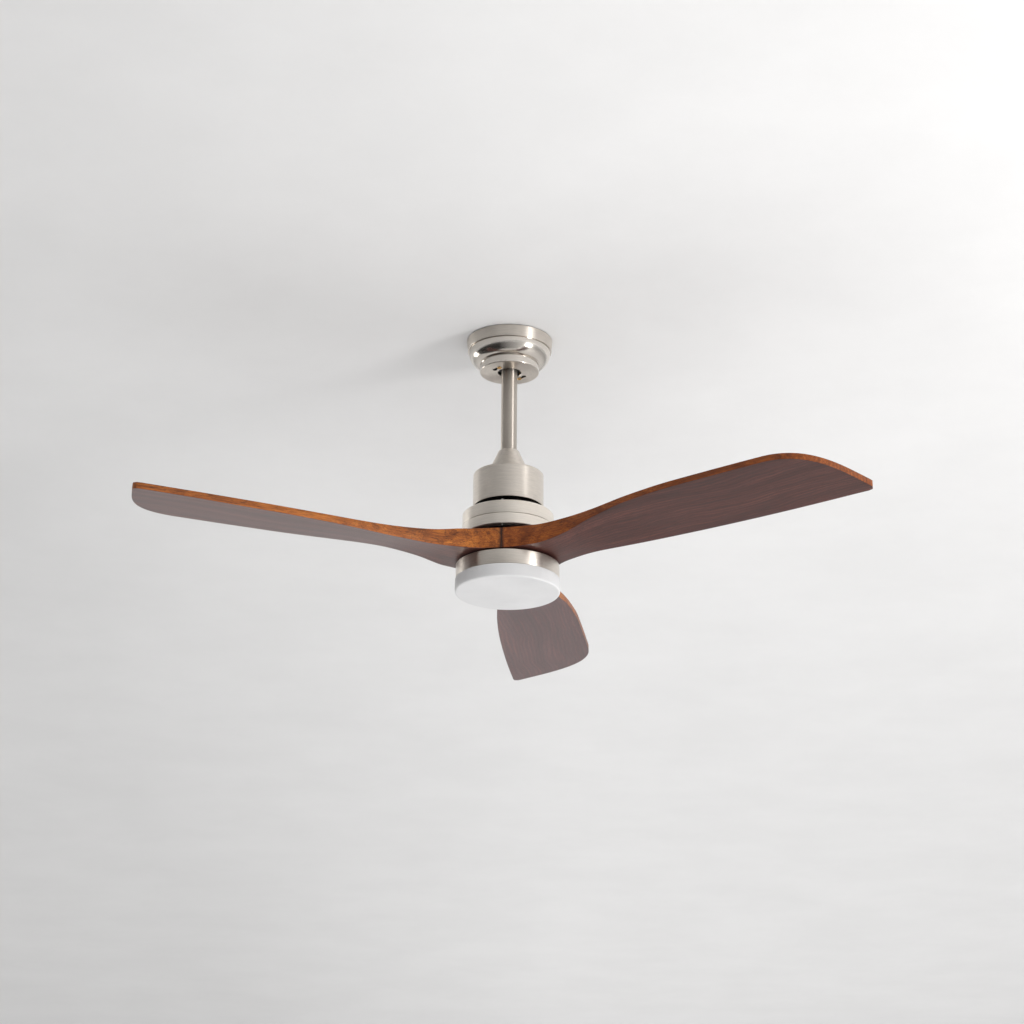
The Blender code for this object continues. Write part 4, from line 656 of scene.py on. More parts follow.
def canopy_corners(low):
    """The canopy's outside from its ceiling rim to the hole in its disc, and back along the inside."""
    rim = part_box("canopy")[1][2]
    band_low = rim - BAND_HEIGHT
    foot = CANOPY_RADIUS - BAND_TAPER
    bowl_start = band_low - CANOPY_STEP
    bowl_width = foot - 1.6 * CANOPY_STEP - DRUM_RADIUS
    drum_top = low + DRUM_HEIGHT
    bowl = []
    steps = 22
    for step in range(steps + 1):
        angle = math.radians(86) * step / steps
        width = DRUM_RADIUS + bowl_width * math.cos(angle)
        bowl.append((width, bowl_start - (bowl_start - drum_top) * math.sin(angle)))
    bowl_rim = bowl[0][0] - 0.0006
    outside = [(CANOPY_RADIUS - 0.0004, rim), (CANOPY_RADIUS, rim - 0.0006, 0.0004)]
    outside += [(foot + 0.0002, band_low + BAND_LIP), (foot + 0.0005, band_low + BAND_LIP / 2, 0.0005)]
    outside += [(foot, band_low, 0.0003), (bowl_rim, band_low - 0.0002, 0.0002)]
    outside += [(bowl_rim, bowl_start + 0.0002)] + bowl
    outside += [(DRUM_RADIUS, drum_top - FIT), (DRUM_RADIUS, low, CANOPY_EDGE)]
    outside += [(CANOPY_HOLE + HOLE_CHAMFER, low, 0.0002), (CANOPY_HOLE, low + HOLE_CHAMFER, 0.0002)]
    inside = [(CANOPY_HOLE, low + CANOPY_WALL), (DRUM_RADIUS - CANOPY_WALL, low + CANOPY_WALL, 0.001)]
    inside += [(DRUM_RADIUS - CANOPY_WALL, drum_top + CANOPY_WALL, 0.001)]
    for width, height in reversed(bowl[:-4:3]):
        inside.append((width - CANOPY_WALL, height + CANOPY_WALL / 2))
    inside += [(foot - 2 * CANOPY_WALL, band_low + CANOPY_WALL), (CANOPY_RADIUS - CANOPY_WALL, rim)]
    return outside + inside, band_low


def keyhole(angle, low, high):
    """The slot that the canopy turns along its screw, and the round entry at its end."""
    slot_middle = angle - KEYHOLE_ARC / 2 + math.radians(4)
    far_end, entry_end = slot_middle + KEYHOLE_ARC / 2, slot_middle - KEYHOLE_ARC / 2
    steps = 8
    shares = [step / steps for step in range(steps + 1)]
    reach = KEYHOLE_CIRCLE + KEYHOLE_HALF_WIDTH
    outline = [polar(reach, entry_end + (far_end - entry_end) * share) for share in shares]
    centre = Vector(polar(KEYHOLE_CIRCLE, far_end))
    for share in shares[1:-1]:
        outward = Vector(polar(1, far_end + math.pi * share))
        outline.append(tuple(centre + KEYHOLE_HALF_WIDTH * outward))
    reach = KEYHOLE_CIRCLE - KEYHOLE_HALF_WIDTH
    outline += [polar(reach, far_end + (entry_end - far_end) * share) for share in shares]
    entry = Vector((*polar(KEYHOLE_CIRCLE, angle - KEYHOLE_ARC + math.radians(2)), 0))
    hole = turned_bmesh(rod_outline(KEYHOLE_ENTRY, low, high), SCREW_SIDES)
    return [slab(outline, low, high), placed(hole, Matrix.Translation(entry))]


def make_canopy(looks):
    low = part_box("canopy")[0][2]
    corners, band_low = canopy_corners(low)
    canopy = turned("canopy_shell", rounded(corners), looks["satin"], looks["polished"])
    tools = []
    for angle, _, _ in around(2, 1.0, CANOPY_SCREW_ANGLE):
        tools += keyhole(angle, low - 2 * CANOPY_WALL, low + 3 * CANOPY_WALL)
    reshaped(canopy, "DIFFERENCE", tools)
    for face in canopy.data.polygons:
        shiny = low + CANOPY_WALL * 0.4 < face.center.z < band_low
        face.material_index = 1 if shiny else 0
    stands_for(canopy, "ceiling_mount", "canopy")


def screw_body(name, look, head_radius, head_height, shank_radius, length, recess):
    """A screw: a domed head above the origin, a cross or a hexagon sunk in it, and a threaded shank."""
    outline = [(0, head_height), (head_radius * 0.45, head_height * 0.97)]
    outline += [(head_radius * 0.8, head_height * 0.78), (head_radius, head_height * 0.30)]
    outline += [(head_radius, 0.0, head_radius * 0.06), (shank_radius, 0)]
    pitch = shank_radius * 0.42
    turns = int((length - shank_radius) / pitch)
    for turn in range(turns):
        level = -pitch * (turn + 0.5)
        outline += [(shank_radius, level), (shank_radius * 0.84, level - pitch / 2)]
    outline += [(shank_radius * 0.84, -length + shank_radius * 0.5)]
    outline += [(shank_radius * 0.5, -length), (0, -length)]
    screw = turned(name, rounded(outline, 3), look, sides=SCREW_SIDES)
    floor, top = head_height - head_height * 0.45, head_height * 2
    if recess == "cross":
        arm, width = head_radius * 0.62, head_radius * 0.13
        corners = [(-arm, -width), (arm, -width), (arm, width), (-arm, width)]
        turns = (0, math.pi / 2)
    else:
        corners = [(x, y) for _, x, y in around(6, head_radius * 0.5)]
        turns = (0,)
    tools = [placed(slab(corners, floor, top), Matrix.Rotation(turn, 4, "Z")) for turn in turns]
    return reshaped(screw, "DIFFERENCE", tools)


def put_screws(name, body, look, sizes, recess, spots, level, upside_down):
    """Copies of one screw at its spots, each a piece that stands for its own node."""
    first = screw_body(f"{name}_fine", look, *sizes, recess)
    flip = Matrix.Rotation(math.pi if upside_down else 0, 4, "X")
    for index, (x, y) in enumerate(spots):
        turn = Matrix.Rotation(0.7 * index, 4, "Z")
        mesh = first.data.copy()
        mesh.transform(Matrix.Translation((x, y, level)) @ turn @ flip)
        screw = linked(f"{name}_fine_{index + 1}", mesh)
        stands_for(screw, body, f"{name}_{index + 1}")
    bpy.data.objects.remove(first, do_unlink=True)


def make_canopy_screws(looks):
    low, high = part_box("canopy_screw_1")
    head_radius = (high[0] - low[0]) / 2
    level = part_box("canopy")[0][2] - FIT
    sizes = (head_radius, level - low[2], CANOPY_SCREW_SHANK, high[2] - level)
    spots = [(x, y) for _, x, y in around(2, KEYHOLE_CIRCLE, CANOPY_SCREW_ANGLE)]
    look = looks["brass"]
    put_screws("canopy_screw", "ceiling_mount", look, sizes, "cross", spots, level, True)


def make_ball(looks):
    bore = ROD_RADIUS + FIT
    tilt = math.asin(BALL_HALF_HEIGHT / BALL_RADIUS)
    steps = 26
    outline = []
    for step in range(steps + 1):
        angle = tilt - 2 * tilt * step / steps
        outline.append((BALL_RADIUS * math.cos(angle), -BALL_DEPTH + BALL_RADIUS * math.sin(angle)))
    for end in (-BALL_HALF_HEIGHT, BALL_HALF_HEIGHT):
        outline.append((bore, -BALL_DEPTH + end, 0.0006))
    ball = turned("ball_moulding", rounded(outline), looks["nylon"])
    stands_for(ball, "hanging", "hanger_ball")


def make_rod(looks):
    _, low, high = span("downrod")
    inner = ROD_RADIUS - ROD_WALL
    edge = ROD_WALL / 5
    outline = [(ROD_RADIUS, high, edge), (ROD_RADIUS, low, edge), (inner, low, edge), (inner, high, edge)]
    rod = turned("downrod_tube", rounded(outline, 3), looks["rod"])
    stands_for(rod, "hanging", "downrod")


def make_cover(looks):
    _, low, high = span("coupling_cover")
    hole = ROD_RADIUS + 2 * FIT
    top_inner = COVER_TOP_RADIUS - COVER_WALL / 2
    outline = [(hole, high - 0.0004), (hole + 0.0005, high), (COVER_TOP_RADIUS, high, COVER_SHOULDER)]
    outline += [(COVER_BASE_RADIUS, low + 0.0012, 0.0012), (COVER_BASE_RADIUS, low, 0.0003)]
    outline += [(COVER_BASE_RADIUS - COVER_WALL, low), (top_inner, high - 2 * COVER_WALL, 0.001)]
    outline += [(hole, high - COVER_WALL)]
    cover = turned("coupling_cone", rounded(outline, 8), looks["satin"])
    stands_for(cover, "hanging", "coupling_cover")


# Housing and motor ----------


def make_housing(looks):
    radius, low, high = span("upper_housing")
    hole = ROD_RADIUS + FIT + YOKE_WALL + FIT
    inner = radius - HOUSING_WALL
    outline = [(hole, high), (radius, high, HOUSING_EDGE), (radius, low, 0.0005), (inner, low, 0.0005)]
    outline += [(inner, high - HOUSING_WALL, HOUSING_EDGE - HOUSING_WALL), (hole, high - HOUSING_WALL)]
    housing = turned("housing_drum", rounded(outline, 9), looks["satin"])
    stands_for(housing, "hanging", "upper_housing")

    radius, low, high = span("housing_base")
    plate_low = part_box("upper_housing")[0][2] + BASE_RECESS
    outline = [(BASE_BORE, high), (radius, high, 0.0003), (radius, plate_low, 0.0003)]
    outline += [(NECK_RADIUS, plate_low, 0.0015), (NECK_RADIUS, low, 0.0008), (BASE_BORE, low)]
    base = turned("housing_neck", rounded(outline), looks["black"])
    stands_for(base, "hanging", "housing_base")


def shell_screw_spots():
    low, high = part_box("shell_screw_1")
    middle = Vector((low[0] + high[0], low[1] + high[1])) / 2
    return [(x, y) for _, x, y in around(4, middle.length, math.atan2(middle.y, middle.x))]


def make_shells(looks):
    boss = BEARING_SEAT + BOSS_WALL
    for node, upward in (("motor_shell_top", True), ("motor_shell_bottom", False)):
        radius, low, high = span(node)
        face, seam = (high, low) if upward else (low, high)
        inward = -1 if upward else 1
        inner = radius - SHELL_WALL
        chamfer = SHELL_CHAMFER if upward else LOWER_SHELL_CHAMFER
        plate = face + inward * SHELL_PLATE
        boss_end = face + inward * BOSS_DEPTH
        outline = [(BEARING_SEAT, face), (radius - chamfer, face, chamfer / 3)]
        outline += [(radius, face + inward * chamfer, chamfer / 3), (radius, seam, 0.0007)]
        outline += [(inner, seam), (inner, plate, 0.002), (boss, plate, 0.001)]
        outline += [(boss, boss_end), (BEARING_SEAT, boss_end)]
        shell = turned(f"{node}_half", rounded(outline, 4), looks["shell"])
        tools = [round_hole(SHELL_SCREW_HOLE, low, high, x, y) for x, y in shell_screw_spots()]
        reshaped(shell, "DIFFERENCE", tools)
        stands_for(shell, "rotor", node)


def make_shell_screws(looks):
    low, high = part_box("shell_screw_1")
    head_radius = (high[0] - low[0]) / 2
    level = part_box("motor_shell_top")[1][2] + FIT
    sizes = (head_radius, high[2] - level, SHELL_SCREW_SHANK, level - low[2])
    spots = shell_screw_spots()
    look = looks["screw"]
    put_screws("shell_screw", "rotor", look, sizes, "cross", spots, level, False)


def make_flange(looks):
    radius, low, high = span("blade_flange")
    outline = [(FLANGE_BORE, high, 0.0004), (radius, high, 0.0006)]
    outline += [(radius, low, 0.0006), (FLANGE_BORE, low, 0.0004)]
    # the flange is drawn flat black, as dark as what shows under the light ring
    flange = turned("flange_disc", rounded(outline), looks["black"])
    tools = [round_hole(BLADE_SCREW_HOLE, low, high, x, y) for x, y in blade_screw_spots()]
    reshaped(flange, "DIFFERENCE", tools)
    stands_for(flange, "rotor", "blade_flange")


# Blades ----------


def blade_screw_spots():
    spots = []
    for angle, _, _ in around(BLADE_COUNT, 1.0, BLADE_AZIMUTH):
        for side in (-1, 1):
            spots.append(polar(BLADE_SCREW_CIRCLE, angle + side * BLADE_SCREW_ANGLE))
    return spots


def smooth_curve(knots, values, first_slope):
    """A smooth function through the values at rising knots. It never swings past them."""
    count = len(knots)
    rises = [(values[i + 1] - values[i]) / (knots[i + 1] - knots[i]) for i in range(count - 1)]
    slopes = [first_slope]
    for before, after in zip(rises, rises[1:]):
        slopes.append(2 * before * after / (before + after) if before * after > 0 else 0.0)
    slopes.append(rises[-1])

    def value_at(x):
        index = max(i for i in range(count - 1) if i == 0 or knots[i] <= x)
        width = knots[index + 1] - knots[index]
        share = min(max((x - knots[index]) / width, 0.0), 1.0)
        start, end = values[index], values[index + 1]
        bend = width * (slopes[index] * (1 - share) - slopes[index + 1] * share)
        ease = share * share * (3 - 2 * share)
        return start + (end - start) * ease + share * (1 - share) * bend

    return value_at


class BladePlan:
    """The blade's plan and thickness: x runs along the blade, y to the trailing edge, z up from the hub."""

    def __init__(self):
        seam = math.pi / BLADE_COUNT
        trail_tip = BLADE_STATIONS[-1][2]
        self.corner = Vector((0, trail_tip - TIP_CORNER))
        self.corner.x = math.sqrt((SWEEP_RADIUS - TIP_CORNER) ** 2 - self.corner.y**2)
        self.root = HUB_RADIUS * math.cos(seam)
        self.tip = self.corner.x + TIP_CORNER
        self.seam_slope = math.tan(seam)
        half = HUB_RADIUS * math.sin(seam)
        at_root = (half, half, 0.0, 0.0, HUB_THICKNESS, HUB_THICKNESS)
        knots = [self.root + row[0] * (self.tip - self.root) for row in BLADE_STATIONS]
        columns = [at_root] + [row[1:] for row in BLADE_STATIONS[1:]]
        curves = []
        for index in range(6):
            slope = -1 / self.seam_slope if index < 2 else 0.0
            curves.append(smooth_curve(knots, [row[index] for row in columns], slope))
        self.lead, self.trail = curves[:2]
        self.lead_lift, self.trail_lift = curves[2:4]
        self.lead_thick, self.trail_thick = curves[4:]

    def edges(self, x):
        """The y of the leading and trailing edge, where the tip's slant is left out."""
        gap = FIT / 2 / math.cos(math.pi / BLADE_COUNT)
        if x < self.root:
            half = self.seam_slope * x - gap
            return -half, half
        shrink = gap * max(0.0, 1 - (x - self.root) / self.root)
        return shrink - self.lead(x), self.trail(x) - shrink

    def surface(self, x, y):
        """The heights of the lower and upper surface over the hub's bottom."""
        low_y, high_y = self.edges(x)
        share = (y - low_y) / (high_y - low_y)
        lift = self.lead_lift(x) + (self.trail_lift(x) - self.lead_lift(x)) * share
        thick = self.lead_thick(x) + (self.trail_thick(x) - self.lead_thick(x)) * share
        return lift, lift + thick

    def tip_outline(self, start, steps=36):
        """The leading edge from x = start to the slanted tip, and the trailing edge back to x = start."""
        slant = self.root + TIP_SLANT_START * (self.tip - self.root)
        ahead = []
        for step in range(8):
            x = start + (slant - start) * step / 8
            ahead.append(Vector((x, self.edges(x)[0])))
        tilt = math.radians(14)
        end = self.corner + TIP_CORNER * Vector((math.cos(tilt), -math.sin(tilt)))
        first = Vector((slant, self.edges(slant)[0]))
        bulge = self.tip - 0.024
        along_tip = Vector((math.sin(tilt), math.cos(tilt)))
        handles = (Vector((bulge, first.y - 0.002)), end - 0.060 * along_tip)
        around_tip = []
        for step in range(steps + 1):
            t = step / steps
            s = 1 - t
            bend = 3 * s * s * t * handles[0] + 3 * s * t * t * handles[1]
            around_tip.append(s**3 * first + bend + t**3 * end)
        corner = []
        for step in range(1, 10):
            angle = -tilt + (math.pi / 2 + tilt) * step / 9
            corner.append(self.corner + TIP_CORNER * Vector((math.cos(angle), math.sin(angle))))
        behind = []
        for step in range(1, 9):
            x = self.corner.x + (start - self.corner.x) * step / 8
            behind.append(Vector((x, self.edges(x)[1])))
        return ahead + around_tip, corner + behind


def spaced(line, count):
    """Points spread evenly along a line of points."""
    lengths = [0.0]
    for first, second in zip(line, line[1:]):
        lengths.append(lengths[-1] + (second - first).length)
    found = []
    for step in range(count):
        target = lengths[-1] * step / (count - 1)
        index = max(i for i in range(len(line) - 1) if i == 0 or lengths[i] <= target)
        share = (target - lengths[index]) / (lengths[index + 1] - lengths[index])
        found.append(line[index].lerp(line[index + 1], min(share, 1.0)))
    return found


def tip_patch(plan, start, rows, columns):
    """A grid of plan points over the blade's end, sided by the leading edge, tip and trailing edge."""
    ahead, behind = plan.tip_outline(start)
    turn = next(i for i, point in enumerate(ahead) if point.x > plan.tip - 0.055)
    leading = spaced(ahead[: turn + 1], rows)
    corner_end = 10
    end = spaced(ahead[turn:] + behind[:corner_end], columns)
    trailing = spaced([*reversed(behind[corner_end - 1 :])], rows)
    near = [leading[0].lerp(trailing[0], column / (columns - 1)) for column in range(columns)]
    grid = []
    for row in range(rows):
        u = row / (rows - 1)
        line = []
        for column in range(columns):
            v = column / (columns - 1)
            ruled = leading[row].lerp(trailing[row], v) + near[column].lerp(end[column], u)
            corners = leading[0].lerp(leading[-1], u).lerp(trailing[0].lerp(trailing[-1], u), v)
            line.append(ruled - corners)
        grid.append(line)
    return grid


def blade_bmesh():
    """Upper and lower surface over one grid of plan points, closed round the outline."""
    plan = BladePlan()
    columns = 23
    start = plan.root + 0.76 * (plan.tip - plan.root)
    spans = [0.008, plan.root * 0.35, plan.root * 0.7, plan.root]
    free_rows = 62
    spans += [plan.root + (start - plan.root) * (row / free_rows) ** 1.1 for row in range(1, free_rows)]
    grid = []
    for x in spans:
        low_y, high_y = plan.edges(x)
        step = (high_y - low_y) / (columns - 1)
        grid.append([Vector((x, low_y + step * column)) for column in range(columns)])
    grid += tip_patch(plan, start, 22, columns)
    bm = bmesh.new()
    lower, upper = [], []
    for line in grid:
        heights = [plan.surface(point.x, point.y) for point in line]
        lower.append([bm.verts.new((*point, low)) for point, (low, _) in zip(line, heights)])
        upper.append([bm.verts.new((*point, high)) for point, (_, high) in zip(line, heights)])
    for layer in (lower, upper):
        for near, far in zip(layer, layer[1:]):
            for index in range(columns - 1):
                bm.faces.new((near[index], near[index + 1], far[index + 1], far[index]))
    rims = []
    for layer in (lower, upper):
        rim = layer[0] + [line[-1] for line in layer[1:]]
        rim += layer[-1][-2::-1] + [line[0] for line in layer[-2:0:-1]]
        rims.append(rim)
    below, above = rims
    for index in range(len(below)):
        bm.faces.new((below[index - 1], below[index], above[index], above[index - 1]))
    return bm


def plan_half(x):
    return math.tan(math.pi / BLADE_COUNT) * x


def mark_plank(mesh, index):
    """Attributes the walnut reads: painted light and shade and reflection coat per blade, figure, painted
    seam shade, grain.
    """
    kinds = {"blade_light": "FLOAT_COLOR", "figure": "FLOAT", "seam_shade": "FLOAT", "grain": "FLOAT_VECTOR"}
    for name, kind in kinds.items():
        mesh.attributes.new(name, kind, "POINT")
    blade_light, figure, seam_shade, grain = (mesh.attributes[name].data for name in kinds)
    seam = math.pi / BLADE_COUNT
    shift = Vector(step * index for step in PLANK_STEP)
    for point, vertex in enumerate(mesh.vertices):
        from_seam = vertex.co.x * math.sin(seam) - abs(vertex.co.y) * math.cos(seam)
        # painted light and shade of this blade as a tint, with its painted reflection coat in the alpha
        blade_light[point].color = (*BLADE_LIGHT_AND_SHADE_TINTS[index - 1], BLADE_REFLECTION_COATS[index - 1])
        figure[point].value = PLANK_FIGURE[index - 1]
        # painted shade: full at the seam between two blades, fading out over the seam width
        seam_shade[point].value = min(max(1.3 - from_seam / SEAM_SHADE_WIDTH, 0), 1)
        grain[point].vector = vertex.co + shift


def make_blades(looks):
    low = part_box("blade_1")[0][2]
    for index, (angle, _, _) in enumerate(around(BLADE_COUNT, 1.0, BLADE_AZIMUTH), 1):
        blade = piece_of(f"walnut_blade_{index}", blade_bmesh(), (looks["walnut"],), 40)
        bevel = blade.modifiers.new("edge", "BEVEL")
        bevel.width = BLADE_EDGE
        bevel.segments = 4
        bevel.limit_method = "ANGLE"
        bevel.angle_limit = math.radians(50)
        bevel.use_clamp_overlap = True
        place = Matrix.Translation((0, 0, low)) @ Matrix.Rotation(angle, 4, "Z")
        back = place.inverted()
        tools = [turned_bmesh(rod_outline(HUB_BORE, -PAST, HUB_THICKNESS + PAST), SIDES)]
        for x, y in blade_screw_spots():
            spot = back @ Vector((x, y, low))
            if spot.x > 0 and abs(spot.y) < plan_half(spot.x):
                bit = [(0, 0.05), (BLADE_SCREW_HOLE, 0.05), (BLADE_SCREW_HOLE, BLADE_SCREW_SINK)]
                bit += [(BLADE_SCREW_RECESS, BLADE_SCREW_SINK), (BLADE_SCREW_RECESS, -PAST), (0, -PAST)]
                spot_place = Matrix.Translation((spot.x, spot.y, 0))
                tools.append(placed(turned_bmesh(bit, SCREW_SIDES), spot_place))
        reshaped(blade, "DIFFERENCE", tools, 40)
        mark_plank(blade.data, index)
        blade.data.transform(place)
        stands_for(blade, "rotor", f"blade_{index}")


def make_blade_screws(looks):
    low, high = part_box("blade_screw_1")
    head_radius = (high[0] - low[0]) / 2
    length = high[2] - low[2] - BLADE_SCREW_HEAD
    sizes = (head_radius, BLADE_SCREW_HEAD, BLADE_SCREW_SHANK, length)
    level = low[2] + BLADE_SCREW_HEAD
    spots = blade_screw_spots()
    look = looks["screw"]
    put_screws("blade_screw", "rotor", look, sizes, "hexagon", spots, level, True)


# Light ----------


def make_light_ring(looks):
    radius, low, high = span("light_ring")
    inner = radius - RING_WALL
    under = high - RING_WALL
    outline = [(RING_BORE, high), (radius, high, 0.0014), (radius, low, 0.0006)]
    outline += [(inner, low, 0.0006), (inner, under, 0.0008), (RING_BORE, under)]
    ring = turned("light_band", rounded(outline), looks["satin"])
    tab_low = low + DIFFUSER_LIP - 2 * LUG_HEIGHT - 2 * FIT
    tabs = []
    for angle, _, _ in around(3, 1.0, math.pi / 2):
        tab_high = tab_low + LUG_HEIGHT
        tabs.append(ring_block(inner - LUG_REACH, inner + RING_WALL / 2, tab_low, tab_high, angle, LUG_ARC))
    reshaped(ring, "UNION", tabs)
    spots = around(3, STANDOFF_CIRCLE, math.radians(30))
    reshaped(ring, "DIFFERENCE", [round_hole(STANDOFF_HOLE, under, high, x, y) for _, x, y in spots])
    stands_for(ring, "hanging", "light_ring")


def make_diffuser(looks):
    radius, low, high = span("diffuser")
    ring_radius, ring_low, _ = span("light_ring")
    rim = ring_low - FIT
    lip = ring_radius - RING_WALL - FIT - LUG_REACH
    lip_in = lip - LIP_WALL
    inner = radius - DIFFUSER_WALL
    floor = low + DIFFUSER_BOW
    steps = 10
    outline = []
    for step in range(steps):
        share = step / steps
        outline.append((inner * 0.93 * share, low + DIFFUSER_WALL + DIFFUSER_BOW * share**2))
    outline += [(inner, floor + DIFFUSER_WALL, 0.0018), (inner, rim - 0.004)]
    outline += [(lip_in, rim - 0.0022)]
    outline += [(lip_in, high, 0.0004), (lip, high, 0.0004), (lip, rim), (radius, rim, 0.0006)]
    outline += [(radius, floor, DIFFUSER_EDGE)]
    for step in range(steps):
        share = 1 - step / steps
        outline.append((radius * 0.93 * share, low + DIFFUSER_BOW * share**2 * 0.93))
    outline.append((0, low))
    diffuser = turned("frosted_cup", rounded(outline, 8), looks["frosted"])
    lugs = []
    for angle, _, _ in around(3, 1.0, math.pi / 2):
        outer = lip + LUG_REACH - 2 * FIT
        lugs.append(ring_block(lip - 0.0006, outer, high - LUG_HEIGHT, high - FIT, angle, LUG_ARC))
    reshaped(diffuser, "UNION", lugs)
    stands_for(diffuser, "light_cover", "diffuser")


# Pieces kept from the frame ----------

KEPT = {
    "steel": ("hanger_bracket", "ball_pin", "ball_set_screw", "motor_yoke", "clevis_pin", "cotter_pin",
              "yoke_set_screw_1", "yoke_set_screw_2", "light_plate", "shaft_nut", "motor_shaft"),
    "screw": ("upper_bearing_inner_race", "upper_bearing_outer_race", "lower_bearing_inner_race",
              "lower_bearing_outer_race", "board_screw_1", "board_screw_2", "board_screw_3"),
    "brass": ("standoff_1", "standoff_2", "standoff_3"),
    "rubber": ("ball_seat_liner",),
    "plastic": ("terminal_block", "led_driver", "lead_plug"),
    "jacket": ("lead_cable",),
    "board": ("control_board",),
    "white_board": ("led_board",),
    "lamination": ("stator_core",),
    "copper": ("stator_windings",),
    "magnet": ("magnet_ring",),
}


def dress_kept_nodes(looks):
    for look, names in KEPT.items():
        for name in names:
            for slot in frame["nodes"][name].material_slots:
                slot.material = looks[look]


# Studio ----------


def make_sheet(name, height, look, faces_down):
    """A level square of ceiling or floor."""
    bm = bmesh.new()
    signs = ((-1, -1), (1, -1), (1, 1), (-1, 1))
    corners = [bm.verts.new((x * SHEET_HALF, y * SHEET_HALF, height)) for x, y in signs]
    bm.faces.new(corners[::-1] if faces_down else corners)
    mesh = bpy.data.meshes.new(name)
    bm.to_mesh(mesh)
    bm.free()
    mesh.materials.append(look)
    linked(name, mesh)


def plaster(look, lighter, glow=0.0):
    """Finishes a look as matt painted plaster with a faint trowel mottle and an even glow."""
    mottle = look.noise(look.place(), 3.2, 5.0, 0.6)
    fine = look.noise(look.place(), 70.0, 4.0, 0.6)
    faded = look.blend(1.0, lighter, (0.965, 0.965, 0.965), "MULTIPLY")
    shade = look.blend(look.remap(mottle, 0.35, 0.65, 0, 1), faded, lighter)
    return look.finish(
        Base_Color=shade,
        Roughness=0.95,
        Emission_Color=(1, 1, 1),
        Emission_Strength=glow,
        Normal=look.bump(fine, 0.08, 0.0006),
    )


def ceiling_plaster():
    """Plaster with painted shade, greyer to the left where the key window's light falls off, and
    see-through from above so that the fan shows from there.
    """
    look = Look("ceiling_plaster")
    east = look.split(look.place())[0]
    # painted shade: the albedo ramps from 0.70 on the left to 0.83, standing in for the key window's light
    # falling off
    plaster(look, look.blend(look.remap(east, -1.0, 0.2, 0, 1), (0.70, 0.70, 0.70), (0.83, 0.83, 0.83)))
    behind = look.node("NewGeometry").outputs["Backfacing"]
    clear = look.node("BsdfTransparent").outputs[0]
    mixed = look.node("MixShader", {0: behind, 1: look.shader.outputs[0], 2: clear}).outputs[0]
    look.tree.links.new(mixed, look.tree.nodes["Material Output"].inputs["Surface"])
    return look.material


def make_lamp(name, place, target, width, height, power, colour=(1, 1, 1), shown_in_metal=True):
    data = bpy.data.lights.new(name, "AREA")
    data.shape = "RECTANGLE"
    data.size, data.size_y = width, height
    data.energy = power
    data.color = colour
    lamp = linked(name, data)
    lamp.location = place
    lamp.rotation_mode = "QUATERNION"
    lamp.rotation_quaternion = (Vector(target) - Vector(place)).to_track_quat("-Z", "Y")
    lamp.visible_camera = False
    lamp.visible_glossy = shown_in_metal
    return lamp


def reflected_only(sheet):
    """Keeps a studio card out of everything but reflections."""
    sheet.visible_camera = False
    sheet.visible_diffuse = False
    sheet.visible_shadow = False
    sheet.visible_transmission = False


def make_ceiling_flag():
    """A disc under the ceiling that darkens what the metal mirrors on the side away from the windows."""
    look = Look("flag_cloth")
    east, north, _ = look.split(look.place())
    outward = look.node("VectorMath", {0: look.joined(east, north, 0.0)}, operation="NORMALIZE").outputs[0]
    bearing = math.radians(65)
    towards = (-math.sin(bearing), -math.cos(bearing), 0)
    share = look.node("VectorMath", {0: outward, 1: towards}, operation="DOT_PRODUCT").outputs["Value"]
    look.finish(Base_Color=look.grey(look.remap(share, -0.1, 0.9, 0.93, 0.60)), Roughness=1.0)
    inner = CANOPY_RADIUS + FIT
    outline = [(inner, -0.0003), (FLAG_RADIUS, -0.0003), (FLAG_RADIUS, 0.0002), (inner, 0.0002)]
    flag = turned("ceiling_flag", outline, look.material)
    reflected_only(flag)


def make_dark_card():
    """A curved card low on the camera's left, seen only in reflections: a painted dark reflection for the
    deep tones in the canopy's polished bowl.
    """
    look = Look("reflection_card")
    east, north, _ = look.split(look.place())
    bearing = look.math("ARCTAN2", east, look.math("MULTIPLY", north, -1.0))
    # painted reflection: darkest on the left, lighter towards the right, graded by bearing
    look.finish(Base_Color=look.grey(look.remap(bearing, -0.55, 0.6, 0.03, 0.75)), Roughness=1.0)
    bm = bmesh.new()
    first, last = CARD_BEARINGS
    steps = 24
    rows = []
    for step in range(steps + 1):
        angle = math.radians(first + (last - first) * step / steps)
        outward = Vector((math.sin(angle), -math.cos(angle), 0))
        ends = [outward * reach + Vector((0, 0, level)) for reach, level in (CARD_FOOT, CARD_HEAD)]
        rows.append([bm.verts.new(end) for end in ends])
    for (foot, head), (next_foot, next_head) in zip(rows, rows[1:]):
        bm.faces.new((foot, next_foot, next_head, head))
    card = piece_of("dark_card", bm, (look.material,))
    reflected_only(card)


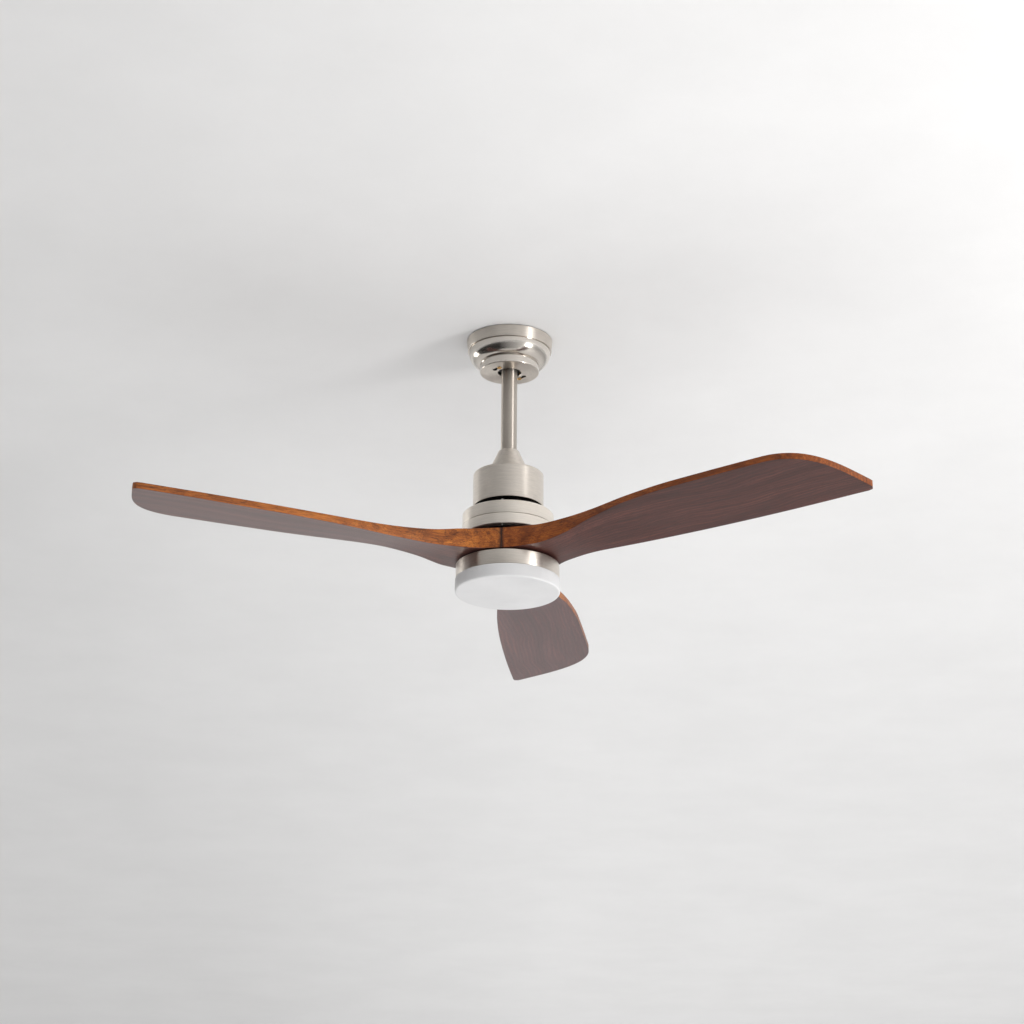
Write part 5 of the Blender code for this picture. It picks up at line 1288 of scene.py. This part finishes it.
def make_studio():
    make_sheet("ceiling_sheet", 0.0006, ceiling_plaster(), True)
    floor_look = plaster(Look("floor_plaster"), (0.80, 0.79, 0.78), 0.12)
    make_sheet("floor_sheet", FLOOR_LEVEL, floor_look, False)
    make_ceiling_flag()
    make_dark_card()
    make_lamp("key_window", (3.1, -2.15, -1.22), LIT_MIDDLE, 0.9, 1.05, 75, (1.0, 0.99, 0.98))
    rear = make_lamp("rear_window", (-3.5, 2.1, -1.3), LIT_MIDDLE, 0.8, 1.3, 26, (1.0, 0.97, 0.93))
    rear.visible_diffuse = False
    make_lamp("room_fill", (1.0, 2.5, -2.55), (1.0, 2.5, 0), 9.0, 11.0, 118, (0.985, 0.99, 1.0), False)
    make_lamp("floor_wash", (0, 7.0, -0.5), (0, 7.0, FLOOR_LEVEL), 6.0, 6.0, 48, (1.0, 0.99, 0.98), False)
    world = bpy.data.worlds.new("room_air")
    bpy.context.scene.world = world
    world.use_nodes = True
    sky = world.node_tree.nodes["Background"].inputs
    sky["Color"].default_value = (0.86, 0.87, 0.88, 1)
    sky["Strength"].default_value = 0.74


def make_camera():
    data = bpy.data.cameras.new("viewpoint")
    data.sensor_width = SENSOR
    data.lens = CAMERA_LENS
    data.clip_start, data.clip_end = 0.05, 200
    camera = linked("viewpoint", data)
    level = math.cos(CAMERA_PITCH)
    ahead = Vector((math.sin(CAMERA_YAW) * level, math.cos(CAMERA_YAW) * level, math.sin(CAMERA_PITCH)))
    right = Vector((math.cos(CAMERA_YAW), -math.sin(CAMERA_YAW), 0))
    up = right.cross(ahead)
    rolled_right = math.cos(CAMERA_ROLL) * right + math.sin(CAMERA_ROLL) * up
    rolled_up = math.cos(CAMERA_ROLL) * up - math.sin(CAMERA_ROLL) * right
    turn = Matrix((rolled_right, rolled_up, -ahead)).transposed().to_4x4()
    camera.matrix_world = Matrix.Translation(CAMERA_PLACE) @ turn
    bpy.context.scene.camera = camera
    bpy.context.scene.view_settings.view_transform = "Standard"


looks = make_looks()
dress_kept_nodes(looks)
make_canopy(looks)
make_canopy_screws(looks)
make_ball(looks)
make_rod(looks)
make_cover(looks)
make_housing(looks)
make_shells(looks)
make_shell_screws(looks)
make_flange(looks)
make_blades(looks)
make_blade_screws(looks)
make_light_ring(looks)
make_diffuser(looks)
make_studio()
make_camera()
